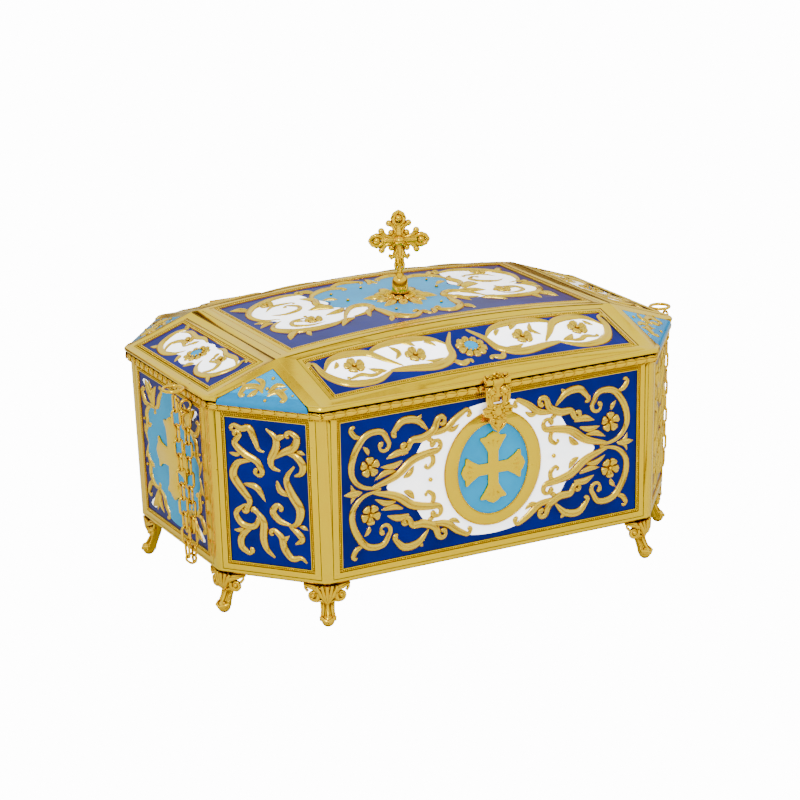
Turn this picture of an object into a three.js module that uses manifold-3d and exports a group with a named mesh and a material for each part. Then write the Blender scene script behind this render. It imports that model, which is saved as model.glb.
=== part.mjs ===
// Gilt and enamelled reliquary casket: an elongated eight-sided box on eight scrolled feet, with a hinged
// crowned lid, a cross finial, a front hasp and a stay chain at each end. Millimetres, +Z up.
// X runs along the casket, the front looks towards -Y, and the foot soles stand on Z = 0.
import * as THREE from "three";
import { mergeVertices } from "three/addons/utils/BufferGeometryUtils.js";
import Module from "manifold-3d";

const wasm = await Module();
wasm.setup();

// ---------------------------------------------------------------- driving dimensions
const HALF_LENGTH = 120; // body at its bottom edge, before the corners are cut
const HALF_DEPTH = 87;
const CUT_X = 34.5; // corner cuts, along X and along Y
const CUT_Y = 41.7;
const LEAN = 0.02; // the walls lean out by this much for each mm of height
const FOOT_HEIGHT = 20;
const BODY_TOP = 102.6;
const LID_BOTTOM = 103;
const WALL = 2.8; // frame thickness; 1.2 is left behind a panel
const FLOOR = 1.6;
const RECESS = 1.6; // a panel's seat in its frame
const PLATE = 1.2; // panel plate thickness
const GAP = 0.3; // between pieces that touch
const FIELD_DEPTH = 0.4; // the enamel lies this far below a panel's border
const FIELD_BOTTOM = 27.25; // enamel fields of the walls
const FIELD_TOP = 96;
const BORDER = 4.6; // panel border beside and below the enamel
const TOP_BORDER = 2.6;
const CREASE_X = 88; // rectangle of the lid's flat top
const CREASE_Y = 47.3;
const CREASE_Z = 117;
const RIM_Z = 105.2; // where the lid's slopes meet its roll
const RIM_OUTSET = 2.2;
const CROWN = 5.4; // the lid's crest rises by this much between its ends
const LID_SHELL = 2.8;
const HINGE_Y = 93.5;
const SEAM_Z = 102.8;
const RELIEF = 0.8; // height of the scrollwork over the enamel
const CROSS_TURN = -23; // the finial's cross is turned about Z, degrees
const CROSS_REACH = 14.9; // from the middle of the cross to the end of an arm
const CROSS_MIDDLE = 150.2; // its height
const HASP_Y = -93.4; // axis of the hasp's hinge
const HASP_Z = 104.2;
const HASP_TIP = 80;
const HINGE_X = 50; // middles of the back hinges
const RING_X = 130.1; // middle of a chain's ring on the lid's rim
const RING_Y = -26;
const RING_RADIUS = 5;
const STAPLE_X = 125.1; // middle of the eye on the body
const STAPLE_Y = -28;
const STAPLE_Z = 96.2;
const STAPLE_RADIUS = 2.6;
const CHAIN_LOW = 21; // height of the chain's lowest point
const CHAIN_LINKS = 22;
const LINK_WIRE = 1.1;
const LINK_HALF_WIDTH = 1.9;

const GILT = { color: 0xf3c93a, metalness: 1, roughness: 0.25 };
const COBALT = { color: 0x0f3499, metalness: 0.1, roughness: 0.2 };
const SKY = { color: 0x6ec6f0, metalness: 0.1, roughness: 0.2 };

const casket = new THREE.Group();

// ---------------------------------------------------------------- solids
const radians = THREE.MathUtils.degToRad;

function closedMesh(points, faces) {
  const geometry = new THREE.BufferGeometry();
  geometry.setAttribute("position", new THREE.Float32BufferAttribute(points.flat(), 3));
  geometry.setIndex(faces.flat());
  return geometry;
}

function toSolid(geometry) {
  const bare = geometry.clone();
  bare.deleteAttribute("normal");
  bare.deleteAttribute("uv");
  const merged = mergeVertices(bare, 1e-4);
  const mesh = new wasm.Mesh({
    numProp: 3,
    vertProperties: merged.attributes.position.array,
    triVerts: new Uint32Array(merged.index.array),
  });
  return new wasm.Manifold(mesh);
}

function toGeometry(solid) {
  const mesh = solid.getMesh();
  const points = [];
  for (let i = 0; i < mesh.numVert; i++) {
    points.push(...mesh.vertProperties.subarray(i * mesh.numProp, i * mesh.numProp + 3));
  }
  const geometry = new THREE.BufferGeometry();
  geometry.setAttribute("position", new THREE.Float32BufferAttribute(points, 3));
  geometry.setIndex([...mesh.triVerts]);
  return geometry;
}

function join(first, ...others) {
  return toGeometry(others.reduce((sum, other) => sum.add(toSolid(other)), toSolid(first)));
}

function cut(body, ...tools) {
  return toGeometry(tools.reduce((rest, tool) => rest.subtract(toSolid(tool)), toSolid(body)));
}

function common(a, b) {
  return toGeometry(toSolid(a).intersect(toSolid(b)));
}

function add(name, geometry, finish) {
  const flat = geometry.toNonIndexed();
  flat.computeVertexNormals();
  const mesh = new THREE.Mesh(flat, new THREE.MeshStandardMaterial(finish));
  mesh.name = name;
  casket.add(mesh);
}

// Side faces between rings of equally many points; closed on itself, or with a flat cap at each end.
function loft(rings, closed = false) {
  const sides = rings[0].length;
  const faces = [];
  const spans = closed ? rings.length : rings.length - 1;
  for (let k = 0; k < spans; k++) {
    const low = k * sides;
    const high = ((k + 1) % rings.length) * sides;
    for (let i = 0; i < sides; i++) {
      const j = (i + 1) % sides;
      faces.push([low + i, low + j, high + j], [low + i, high + j, high + i]);
    }
  }
  const top = (rings.length - 1) * sides;
  for (let i = 1; !closed && i < sides - 1; i++) {
    faces.push([0, i + 1, i], [top, top + i, top + i + 1]);
  }
  return closedMesh(rings.flat(), faces);
}

// A plan outline, counter-clockwise, raised from z0 to z1.
function prism(outline, z0, z1, holes = []) {
  const shape = new THREE.Shape(outline.map(([x, y]) => new THREE.Vector2(x, y)));
  for (const hole of holes) {
    shape.holes.push(new THREE.Path(hole.map(([x, y]) => new THREE.Vector2(x, y))));
  }
  const geometry = new THREE.ExtrudeGeometry(shape, { depth: z1 - z0, bevelEnabled: false });
  return geometry.translate(0, 0, z0);
}

function rectangle(u0, v0, u1, v1) {
  return [[u0, v0], [u1, v0], [u1, v1], [u0, v1]];
}

function block(x0, y0, z0, x1, y1, z1) {
  return prism(rectangle(x0, y0, x1, y1), z0, z1);
}

// A regular ring of points in the plane through centre with the given axes.
function circle(centre, radius, sides, a, b, start = 0) {
  return Array.from({ length: sides }, (_, i) => {
    const t = start + (2 * Math.PI * i) / sides;
    return centre.map((c, k) => c + radius * (a[k] * Math.cos(t) + b[k] * Math.sin(t)));
  });
}

function rodAlongX(x0, x1, y, z, radius, sides) {
  return loft([x0, x1].map((x) => circle([x, y, z], radius, sides, [0, 1, 0], [0, 0, 1])));
}

function signedVolume(mesh) {
  const p = mesh.attributes.position;
  const [a, b, c] = [new THREE.Vector3(), new THREE.Vector3(), new THREE.Vector3()];
  let sum = 0;
  for (let i = 0; i < mesh.index.count; i += 3) {
    a.fromBufferAttribute(p, mesh.index.getX(i));
    b.fromBufferAttribute(p, mesh.index.getX(i + 1));
    c.fromBufferAttribute(p, mesh.index.getX(i + 2));
    sum += a.dot(b.cross(c)) / 6;
  }
  return sum;
}

function turnedInsideOut(mesh) {
  const index = [...mesh.index.array];
  for (let i = 0; i < index.length; i += 3) [index[i + 1], index[i + 2]] = [index[i + 2], index[i + 1]];
  mesh.setIndex(index);
  return mesh;
}

function facingOut(mesh) {
  return signedVolume(mesh) < 0 ? turnedInsideOut(mesh) : mesh;
}

// A closed wire loop: centre line points, wire radius, sides of the wire.
function wireLoop(line, radius, sides, normal) {
  const n = new THREE.Vector3(...normal).normalize();
  const rings = line.map((p, i) => {
    const here = new THREE.Vector3(...p);
    const came = here.clone().sub(new THREE.Vector3(...line.at(i - 1))).normalize();
    const goes = new THREE.Vector3(...line[(i + 1) % line.length]).sub(here).normalize();
    const middle = came.clone().add(goes).normalize();
    const outward = middle.clone().cross(n).divideScalar(middle.dot(goes));
    return circle(p, radius, sides, outward.toArray(), n.toArray(), Math.PI / sides);
  });
  return facingOut(loft(rings, true));
}

// ---------------------------------------------------------------- the eight-sided plan
const CORNERS = [
  [-(HALF_LENGTH - CUT_X), -HALF_DEPTH],
  [HALF_LENGTH - CUT_X, -HALF_DEPTH],
  [HALF_LENGTH, -(HALF_DEPTH - CUT_Y)],
  [HALF_LENGTH, HALF_DEPTH - CUT_Y],
  [HALF_LENGTH - CUT_X, HALF_DEPTH],
  [-(HALF_LENGTH - CUT_X), HALF_DEPTH],
  [-HALF_LENGTH, HALF_DEPTH - CUT_Y],
  [-HALF_LENGTH, -(HALF_DEPTH - CUT_Y)],
];
const WALL_NAMES = [
  "front", "front_right", "right_end", "back_right", "back", "back_left", "left_end", "front_left",
];
const SIDES = CORNERS.map((a, i) => {
  const b = CORNERS[(i + 1) % 8];
  const length = Math.hypot(b[0] - a[0], b[1] - a[1]);
  const along = [(b[0] - a[0]) / length, (b[1] - a[1]) / length];
  const out = [along[1], -along[0]];
  const middle = [(a[0] + b[0]) / 2, (a[1] + b[1]) / 2];
  return { along, out, middle, length, reach: out[0] * a[0] + out[1] * a[1] };
});

// Where the two sides that meet at corner i cross, once both are moved out by outset.
function corner(i, outset) {
  const p = SIDES[(i + 7) % 8];
  const q = SIDES[i % 8];
  const det = p.out[0] * q.out[1] - p.out[1] * q.out[0];
  const dp = p.reach + outset;
  const dq = q.reach + outset;
  return [(dp * q.out[1] - dq * p.out[1]) / det, (p.out[0] * dq - q.out[0] * dp) / det];
}

// The plan at one height, with each corner eased by a short flat.
function ring(z, outset, ease = 1.2) {
  return CORNERS.flatMap((_, i) => {
    const p = corner(i, outset);
    const before = SIDES[(i + 7) % 8].along;
    const after = SIDES[i].along;
    return [
      [p[0] - ease * before[0], p[1] - ease * before[1], z],
      [p[0] + ease * after[0], p[1] + ease * after[1], z],
    ];
  });
}

const leanAt = (z) => LEAN * (z - FOOT_HEIGHT);

// ---------------------------------------------------------------- ornament, drawn in a flat (u, v, height)
// A curl is a shrinking spiral: the radius of its first turn, negative to turn right.
function curled(points, radius, steps) {
  const [x0, y0] = points[points.length - 2];
  const [x1, y1] = points[points.length - 1];
  let heading = Math.atan2(y1 - y0, x1 - x0);
  let [x, y] = [x1, y1];
  const turn = (Math.sign(radius) * radians(230)) / steps;
  const added = [];
  for (let k = 0; k < steps; k++) {
    const r = Math.abs(radius) * (1 - (0.55 * k) / steps);
    heading += turn;
    x += r * Math.abs(turn) * Math.cos(heading);
    y += r * Math.abs(turn) * Math.sin(heading);
    added.push([x, y]);
  }
  return [...points, ...added];
}

function spine(points, startCurl, endCurl) {
  const forward = endCurl ? curled(points, endCurl, 2) : points;
  return startCurl ? curled([...forward].reverse(), startCurl, 2).reverse() : forward;
}

// A tapered stem through a few points, with a ridge along its middle.
function stem(points, width, startCurl = 0, endCurl = 0) {
  const line = spine(points, startCurl, endCurl);
  const last = line.length - 1;
  const rings = line.map(([u, v], i) => {
    const [ua, va] = line[Math.max(0, i - 1)];
    const [ub, vb] = line[Math.min(last, i + 1)];
    const l = Math.hypot(ub - ua, vb - va);
    const fullness = Math.sin(Math.PI * (0.12 + (0.76 * i) / last));
    const w = (width / 2) * fullness;
    const [nu, nv] = [(-(vb - va) / l) * w, ((ub - ua) / l) * w];
    const low = -FIELD_DEPTH - 0.3;
    return [[u - nu, v - nv, low], [u, v, -FIELD_DEPTH + RELIEF * (0.45 + 0.55 * fullness)],
      [u + nu, v + nv, low]];
  });
  return loft(rings.map((r) => [...r].reverse()));
}

function leaf(from, to, width, bow = 0) {
  const [du, dv] = [to[0] - from[0], to[1] - from[1]];
  const middle = [from[0] + du / 2 - dv * bow, from[1] + dv / 2 + du * bow];
  return stem([from, middle, to], width);
}

function blossom([u, v], radius, petals) {
  const low = -FIELD_DEPTH - 0.3;
  const points = [[u, v, low], [u, v, RELIEF]];
  for (let k = 0; k < 2 * petals; k++) {
    const t = (Math.PI * k) / petals;
    const r = k % 2 ? radius * 0.62 : radius;
    points.push([u + r * Math.cos(t), v + r * Math.sin(t), low]);
  }
  const faces = [];
  for (let k = 0; k < 2 * petals; k++) {
    const [a, b] = [2 + k, 2 + ((k + 1) % (2 * petals))];
    faces.push([1, a, b], [0, b, a]);
  }
  return closedMesh(points, faces);
}

const dot = (at, radius) => blossom(at, radius, 3);

// An oval band round a medallion whose floor stands a little higher than the field's.
function ovalBand(halfU, halfV, width, steps) {
  const low = -FIELD_DEPTH - 0.3;
  const turns = Array.from({ length: steps }, (_, k) => (2 * Math.PI * k) / steps);
  const section = [[width / 2, low], [width / 4, RELIEF], [-width / 4, RELIEF], [-width / 2, low]];
  const rings = turns.map((t) =>
    section.map(([r, h]) => [(halfU + r) * Math.cos(t), (halfV + r) * Math.sin(t), h]));
  const floor = turns.map((t) => [halfU * Math.cos(t), halfV * Math.sin(t)]);
  return join(facingOut(loft(rings, true)), prism(floor, low, -FIELD_DEPTH + 0.15));
}

// A cross whose four arms flare to three points.
function flaredCross(reachU, reachV, neck, flare) {
  const outline = [];
  for (let quarter = 0; quarter < 4; quarter++) {
    const reach = quarter % 2 ? reachV : reachU;
    const arm = [
      [neck, -neck], [reach * 0.5, -neck * 1.1], [reach * 0.84, -flare], [reach * 0.9, -flare * 0.4],
      [reach, 0], [reach * 0.9, flare * 0.4], [reach * 0.84, flare], [reach * 0.5, neck * 1.1],
    ];
    const t = (Math.PI / 2) * quarter;
    for (const [a, b] of arm) {
      outline.push([a * Math.cos(t) - b * Math.sin(t), a * Math.sin(t) + b * Math.cos(t)]);
    }
  }
  return prism(outline, -FIELD_DEPTH - 0.3, RELIEF);
}

// Repeats a piece of ornament mirrored in u, in v, or in both.
function mirrored(draw, inU, inV) {
  const result = [];
  for (const su of inU ? [1, -1] : [1]) {
    for (const sv of inV ? [1, -1] : [1]) result.push(...draw(su, sv));
  }
  return result;
}

const flip = (points, su, sv) => points.map(([u, v]) => [su * u, sv * v]);

// The long walls: a cross in an oval band, and a scroll round a flower in each quarter.
function longWallOrnament(rich) {
  const quarter = (su, sv) => {
    const vine = (points, width, start = 0, end = 0) =>
      stem(flip(points, su, sv), width, start * su * sv, end * su * sv);
    const outer = [
      vine([[53, 21], [58, 27], [66, 25.5], [72, 13], [66, 2]], 3.2, 3.4),
      blossom([su * 63, sv * 11.5], 4.6, 5),
    ];
    const inner = [
      vine([[67, 1.2], [48, 5.5], [38, 12.5], [28, 14]], 3.2, 0, -2.4),
      vine([[43, 18], [35, 20.5], [28.5, 28]], 2.8, 0, -2),
      vine([[29, 22.5], [21, 26], [13, 30.5]], 2.8),
    ];
    return rich ? [...outer, ...inner] : outer;
  };
  return [
    ovalBand(21.8, 24.4, 7, 18),
    flaredCross(17.2, 17.8, 2.5, 6.8),
    ...mirrored(quarter, true, true),
    ...mirrored((su) => [leaf([su * 68.5, 0], [su * 75.5, 0], 3)], true, false),
  ];
}

function endWallOrnament() {
  return [
    flaredCross(18.5, 21, 4.5, 7),
    ...mirrored((su, sv) => [
      stem(flip([[30.5, 1.5], [31, 11], [20, 20]], su, sv), 2.8),
      stem(flip([[21, 19.5], [13, 23], [9, 29.5]], su, sv), 2.8),
      leaf(...flip([[21, 20.5], [30, 31.5]], su, sv), 3.6),
    ], true, true),
  ];
}

// The cut corners carry two unlike columns of leafy S scrolls; side mirrors the drawing. At the back only
// the larger scrolls are carved.
function cornerWallOrnament(side, rich) {
  const vine = (points, width, start = 0, end = 0) =>
    stem(flip(points, side, 1), width, start * side, end * side);
  const large = [
    vine([[-8, 15], [-16, 9], [-9.8, -4], [-12.5, -10]], 3.4),
    vine([[-5, -13], [-2.8, -22], [2, -31]], 3.4),
    vine([[0.5, 30], [4.5, 24], [2, 15], [5, 11.5]], 3.2),
    vine([[13, 14], [9.3, 7], [15.5, -7], [9, -15]], 3.6),
  ];
  const small = [
    vine([[-14.5, 31], [-7, 30], [-2, 19.5]], 3),
    vine([[-13, 25.5], [-15.3, 21], [-6, 15.5]], 3, 0, -2.4),
    vine([[-14, -8], [-14, -17], [-6, -14], [-6, -9.5]], 2.8),
    vine([[-9, -17], [-14.5, -23], [-12, -30]], 2.8),
    vine([[3, 17], [12, 21.5], [13, 30]], 3),
    vine([[10, 20], [17.5, 16], [13.5, 9.8]], 3),
    vine([[10, -14.5], [3.5, -11.5], [3.5, -5.5]], 2.8),
    vine([[1.5, -17.8], [6.5, -22], [9.5, -30], [17.5, -30.5]], 3.2),
  ];
  return rich ? [...large, ...small] : large;
}

function lidTopOrnament() {
  const petals = Array.from({ length: 8 }, (_, k) => {
    const t = (Math.PI / 4) * (k + 0.5);
    const [c, s] = [Math.cos(t), Math.sin(t)];
    return leaf([9.5 * c, 9.5 * s], [17.5 * c, 17.5 * s], 4);
  });
  return [
    ...petals,
    ...mirrored((su, sv) => [
      stem(flip([[69, 4], [70, 14], [56, 22], [41, 18]], su, sv), 3),
      stem(flip([[39, 16], [27, 3.5], [20, 9], [32, 17]], su, sv), 2.8),
      stem(flip([[14, 5], [12, 20], [3, 22.5]], su, sv), 3),
      leaf(...flip([[38, 20], [46, 29]], su, sv), 2.8),
      blossom([su * 53, sv * 10], 4.8, 5),
    ], true, true),
  ];
}

function lidLongSlopeOrnament(rich) {
  const half = (su) => {
    const scrolls = [
      stem(flip([[73, 8], [69, -7], [43, -5]], su, 1), 2.8),
      stem(flip([[43, -5], [22, -8.5], [6.5, 12]], su, 1), 2.8),
    ];
    const filling = [
      stem(flip([[71, 5], [55, 11.5], [38, -3]], su, 1), 2.8),
      stem(flip([[50, 6], [32, 12.5], [14, 6]], su, 1), 2.6),
      blossom([su * 58, 1], 4.4, 5),
      blossom([su * 27, 1], 4.4, 5),
    ];
    return rich ? [...scrolls, ...filling] : scrolls;
  };
  return [blossom([0, 0], 7.4, 7), ...mirrored(half, true, false)];
}

function lidEndSlopeOrnament() {
  return [
    blossom([0, 0], 6.4, 7),
    ...mirrored((su) => [
      stem(flip([[8, 9], [20, 9.5], [31, 5], [33, -3]], su, 1), 2.6),
      stem(flip([[33, -3], [20, -7.5], [9, -7]], su, 1), 2.6),
      blossom([su * 18, 1], 3.6, 5),
    ], true, false),
  ];
}

// ---------------------------------------------------------------- wall panels and their seats
// Takes a flat piece (u, v, height) onto wall i, with v measured from the middle of the enamel field.
function wallMatrix(i) {
  const { along, out, middle } = SIDES[i];
  const rise = (FIELD_BOTTOM + FIELD_TOP) / 2 - FOOT_HEIGHT;
  const up = new THREE.Vector3(out[0] * LEAN, out[1] * LEAN, 1).normalize();
  const u = new THREE.Vector3(along[0], along[1], 0);
  const n = new THREE.Vector3().crossVectors(u, up);
  const origin = new THREE.Vector3(middle[0], middle[1], FOOT_HEIGHT).addScaledVector(up, rise);
  return new THREE.Matrix4().makeBasis(u, up, n).setPosition(origin);
}

const FIELD_HALF_V = (FIELD_TOP - FIELD_BOTTOM) / 2;

// Half-width of wall i's enamel field: the posts beside the cut corners are narrower.
function fieldHalfU(i) {
  const margin = i % 2 ? 7.2 : i % 4 ? 9.8 : 8.2;
  return SIDES[i].length / 2 - margin;
}

function plateOutline(halfU, grow) {
  const h = halfU + BORDER + grow;
  return rectangle(-h, -FIELD_HALF_V - BORDER - grow, h, FIELD_HALF_V + TOP_BORDER + grow);
}

function wallPanel(i, ornament) {
  const halfU = fieldHalfU(i);
  const low = -RECESS + GAP;
  const plate = prism(plateOutline(halfU, 0), low, 0);
  const field = block(-halfU, -FIELD_HALF_V, -FIELD_DEPTH, halfU, FIELD_HALF_V, 1);
  return join(cut(plate, field), ...ornament).applyMatrix4(wallMatrix(i));
}

const wallSeat = (i) => prism(plateOutline(fieldHalfU(i), GAP), -RECESS, 2).applyMatrix4(wallMatrix(i));

// ---------------------------------------------------------------- box
function boxShell() {
  const profile = [
    [FOOT_HEIGHT, -1.2], [FOOT_HEIGHT + 1.2, leanAt(21.2)], [98.9, leanAt(98.9)],
    [99.1, 2.9], [100.8, 3.4], [102.1, 2.9], [BODY_TOP, 1.8],
    [BODY_TOP, leanAt(BODY_TOP) - WALL], [FOOT_HEIGHT + FLOOR, -WALL],
  ];
  const shell = loft(profile.map(([z, outset]) => ring(z, outset)));
  return cut(shell, ...SIDES.map((_, i) => wallSeat(i)));
}

add("box_shell", boxShell(), GILT);
SIDES.forEach((_, i) => {
  const ornament = i === 0 ? longWallOrnament(true)
    : i === 4 ? longWallOrnament(false)
    : i % 2 === 0 ? endWallOrnament()
    : cornerWallOrnament(i === 7 || i === 3 ? 1 : -1, i === 7 || i === 1);
  add(`panel_${WALL_NAMES[i]}`, wallPanel(i, ornament), COBALT);
});

// ---------------------------------------------------------------- feet
// Sections of a foot from its bracket to its sole: height, inset from the corner, half-width, half-thickness.
const FOOT_SECTIONS = [
  [0, 2.4, 3.4, 2.9], [2, 2.1, 4.4, 3.9], [8, 4.1, 3.3, 2.7],
  [13.5, 5.7, 4.2, 3.1], [17.5, 6.2, 10.2, 3.8], [FOOT_HEIGHT - GAP, 6.2, 11, 4],
];

function foot(i) {
  const outward = new THREE.Vector3(
    SIDES[i].out[0] + SIDES[(i + 7) % 8].out[0], SIDES[i].out[1] + SIDES[(i + 7) % 8].out[1], 0).normalize();
  const across = new THREE.Vector3(-outward.y, outward.x, 0);
  const at = new THREE.Vector3(CORNERS[i][0], CORNERS[i][1], 0);
  const place = new THREE.Matrix4().makeBasis(across, new THREE.Vector3(0, 0, 1), outward)
    .setPosition(at);
  // Local axes: x across, y up, z outward from the corner.
  const rings = FOOT_SECTIONS.map(([height, inset, halfWidth, halfDepth]) =>
    Array.from({ length: 6 }, (_, k) => {
      const t = (Math.PI / 3) * k + Math.PI / 6;
      return [halfWidth * 1.15 * Math.cos(t), height, halfDepth * Math.sin(t) - inset];
    }).reverse());
  const leg = loft(rings);
  const volutes = [-1, 1].map((side) => loft([-7, -1.6].map((z) =>
    circle([side * 7, 14.2, z], 3.1, 6, [1, 0, 0], [0, 1, 0]))));
  return join(leg, ...volutes).applyMatrix4(place);
}

CORNERS.forEach((_, i) => add(`foot_${i + 1}`, foot(i), GILT));

// ---------------------------------------------------------------- lid
const SLOPE_Y = (CREASE_Z - RIM_Z) / (HALF_DEPTH + RIM_OUTSET - CREASE_Y);
const SLOPE_X = (CREASE_Z - RIM_Z) / (HALF_LENGTH + RIM_OUTSET - CREASE_X);
const CUT_OUT = SIDES[3].out;
const CUT_REACH = SIDES[3].reach + RIM_OUTSET;
const CUT_SLOPE = (CREASE_Z - RIM_Z) / (CUT_REACH - CUT_OUT[0] * CREASE_X - CUT_OUT[1] * CREASE_Y);

const clamp01 = (t) => Math.min(1, Math.max(0, t));
const crown = (x) => CROWN * Math.max(0, 1 - (x / CREASE_X) ** 2);

// The crown starts close to the rim: its share of the full height, from the rim (0) to the crest (1).
const swell = (share) => Math.min(20 * share, 0.45 + 0.55 * share);

// Height of the lid's outer surface over each kind of facet.
const LID_HEIGHT = {
  top: (x) => CREASE_Z + crown(x),
  long: (x, y) => {
    const drop = HALF_DEPTH + RIM_OUTSET - Math.abs(y);
    const share = clamp01(drop / (HALF_DEPTH + RIM_OUTSET - CREASE_Y));
    return RIM_Z + SLOPE_Y * drop + crown(x) * swell(share);
  },
  end: (x) => RIM_Z + SLOPE_X * (HALF_LENGTH + RIM_OUTSET - Math.abs(x)),
  corner: (x, y) =>
    RIM_Z + CUT_SLOPE * (CUT_REACH - CUT_OUT[0] * Math.abs(x) - CUT_OUT[1] * Math.abs(y)),
};

// Cuts every face of a flat piece along the lines where X equals one of the stations, so that it can bend
// there.
function sliced(geometry, stations) {
  const flat = geometry.index ? geometry.toNonIndexed() : geometry;
  const p = flat.attributes.position;
  let triangles = [];
  for (let i = 0; i < p.count; i += 3) {
    triangles.push([0, 1, 2].map((k) => [p.getX(i + k), p.getY(i + k), p.getZ(i + k)]));
  }
  for (const at of stations) {
    triangles = triangles.flatMap((triangle) => splitTriangle(triangle, at));
  }
  return closedMesh(triangles.flat(), triangles.map((_, k) => [3 * k, 3 * k + 1, 3 * k + 2]));
}

function splitTriangle(triangle, at) {
  const near = 1e-4;
  const side = triangle.map(([x]) => (Math.abs(x - at) < near ? 0 : Math.sign(x - at)));
  if (side.every((s) => s >= 0) || side.every((s) => s <= 0)) return [triangle];
  const parts = [[], []];
  for (let k = 0; k < 3; k++) {
    const [a, b] = [triangle[k], triangle[(k + 1) % 3]];
    const [sa, sb] = [side[k], side[(k + 1) % 3]];
    if (sa >= 0) parts[0].push(a);
    if (sa <= 0) parts[1].push(a);
    if (sa * sb < 0) {
      const [p, q] = sa < 0 ? [a, b] : [b, a];
      const t = (at - p[0]) / (q[0] - p[0]);
      const middle = [at, p[1] + t * (q[1] - p[1]), p[2] + t * (q[2] - p[2])];
      parts[0].push(middle);
      parts[1].push(middle);
    }
  }
  return parts.flatMap((part) => part.slice(2).map((_, k) => [part[0], part[k + 1], part[k + 2]]));
}

function lifted(geometry, height) {
  const p = geometry.attributes.position;
  for (let i = 0; i < p.count; i++) p.setZ(i, p.getZ(i) + height(p.getX(i), p.getY(i)));
  return geometry;
}

const BENDS = [-0.5, 0, 0.5].map((t) => t * CREASE_X);

function onLid(geometry, kind) {
  return lifted(sliced(geometry, kind === "end" ? [] : BENDS), LID_HEIGHT[kind]);
}

const LAP = 0.1; // neighbouring facets run into each other by this much, so that they join

// Plan outlines of the five four-sided facets.
function facetOutline(name) {
  const [cx, cy] = [CREASE_X, CREASE_Y];
  const rim = CORNERS.map((_, i) => corner(i, RIM_OUTSET + 0.4));
  if (name === "top") return rectangle(-cx - LAP, -cy - LAP, cx + LAP, cy + LAP);
  if (name === "front") return [[-cx, -cy], rim[0], rim[1], [cx, -cy]];
  if (name === "back") return [[cx, cy], rim[4], rim[5], [-cx, cy]];
  if (name === "right_end") return [[cx, -cy], rim[2], rim[3], [cx, cy]];
  return [[-cx, cy], rim[6], rim[7], [-cx, -cy]];
}

const LONG_FIELD = { half: 76.6, inner: 55.5, outer: 83.3 };
const END_FIELD = { half: 39.5, inner: 96.2, outer: 117.9 };
const TOP_FIELD = { halfU: 77, halfV: 40.3 };
const LID_BORDER = 3.4;
const RIM_BORDER = 2.2; // towards the roll
const FACETS = {
  top: { kind: "top", turn: 0, centre: 0, halfU: TOP_FIELD.halfU, halfV: TOP_FIELD.halfV, rim: LID_BORDER },
  front: longFacet(0),
  back: longFacet(180),
  right_end: endFacet(90),
  left_end: endFacet(-90),
};

function longFacet(turn) {
  const { half, inner, outer } = LONG_FIELD;
  return facetField("long", turn, half, inner, outer);
}

function endFacet(turn) {
  const { half, inner, outer } = END_FIELD;
  return facetField("end", turn, half, inner, outer);
}

function facetField(kind, turn, halfU, inner, outer) {
  return { kind, turn, centre: (inner + outer) / 2, halfU, halfV: (outer - inner) / 2, rim: RIM_BORDER };
}

// From a facet's (u, v), with v rising towards the crest, to the plan.
function facetMatrix({ turn, centre }) {
  return new THREE.Matrix4().makeRotationZ(radians(turn))
    .multiply(new THREE.Matrix4().makeTranslation(0, -centre, 0));
}

function facetPlate({ halfU, halfV, rim }, grow) {
  return rectangle(-halfU - LID_BORDER - grow, -halfV - rim - grow,
    halfU + LID_BORDER + grow, halfV + LID_BORDER + grow);
}

function lidPanel(facet, ornament) {
  const plate = prism(facetPlate(facet, 0), -RECESS + GAP, 0);
  const field = block(-facet.halfU, -facet.halfV, -FIELD_DEPTH, facet.halfU, facet.halfV, 1);
  return onLid(join(cut(plate, field), ...ornament).applyMatrix4(facetMatrix(facet)), facet.kind);
}

function lidFacet(name) {
  const facet = FACETS[name];
  const seat = prism(facetPlate(facet, GAP), -RECESS, 2).applyMatrix4(facetMatrix(facet));
  return onLid(cut(prism(facetOutline(name), -LID_SHELL, 0), seat), facet.kind);
}

// A corner panel is a three-sided sheet that runs over the rim and down its edge. Section of its outer
// face across the cut corner: distance out from the rim line, height over RIM_Z.
const LIP = [[1.4, -0.75], [1.9, -2]];
const CUT_MIDDLE = SIDES[3].middle;

function cornerSheet(over, under) {
  const reach = -30;
  const slope = (w) => -CUT_SLOPE * w;
  const outer = [[reach, slope(reach) + over], [0, over], [LIP[0][0] + over, LIP[0][1] + over],
    [LIP[1][0] + over, LIP[1][1]]];
  const inner = [[LIP[1][0] - under, LIP[1][1]], [LIP[0][0] - under, LIP[0][1] - under * 0.6],
    [-0.3, -under], [reach, slope(reach) - under]];
  const section = [...outer, ...inner].reverse();
  const length = 40;
  const place = (along) => section.map(([w, h]) => [
    CUT_MIDDLE[0] + CUT_OUT[0] * (w + RIM_OUTSET) - CUT_OUT[1] * along,
    CUT_MIDDLE[1] + CUT_OUT[1] * (w + RIM_OUTSET) + CUT_OUT[0] * along,
    RIM_Z + h,
  ]);
  return prismBetween(place(-length), place(length));
}

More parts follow.
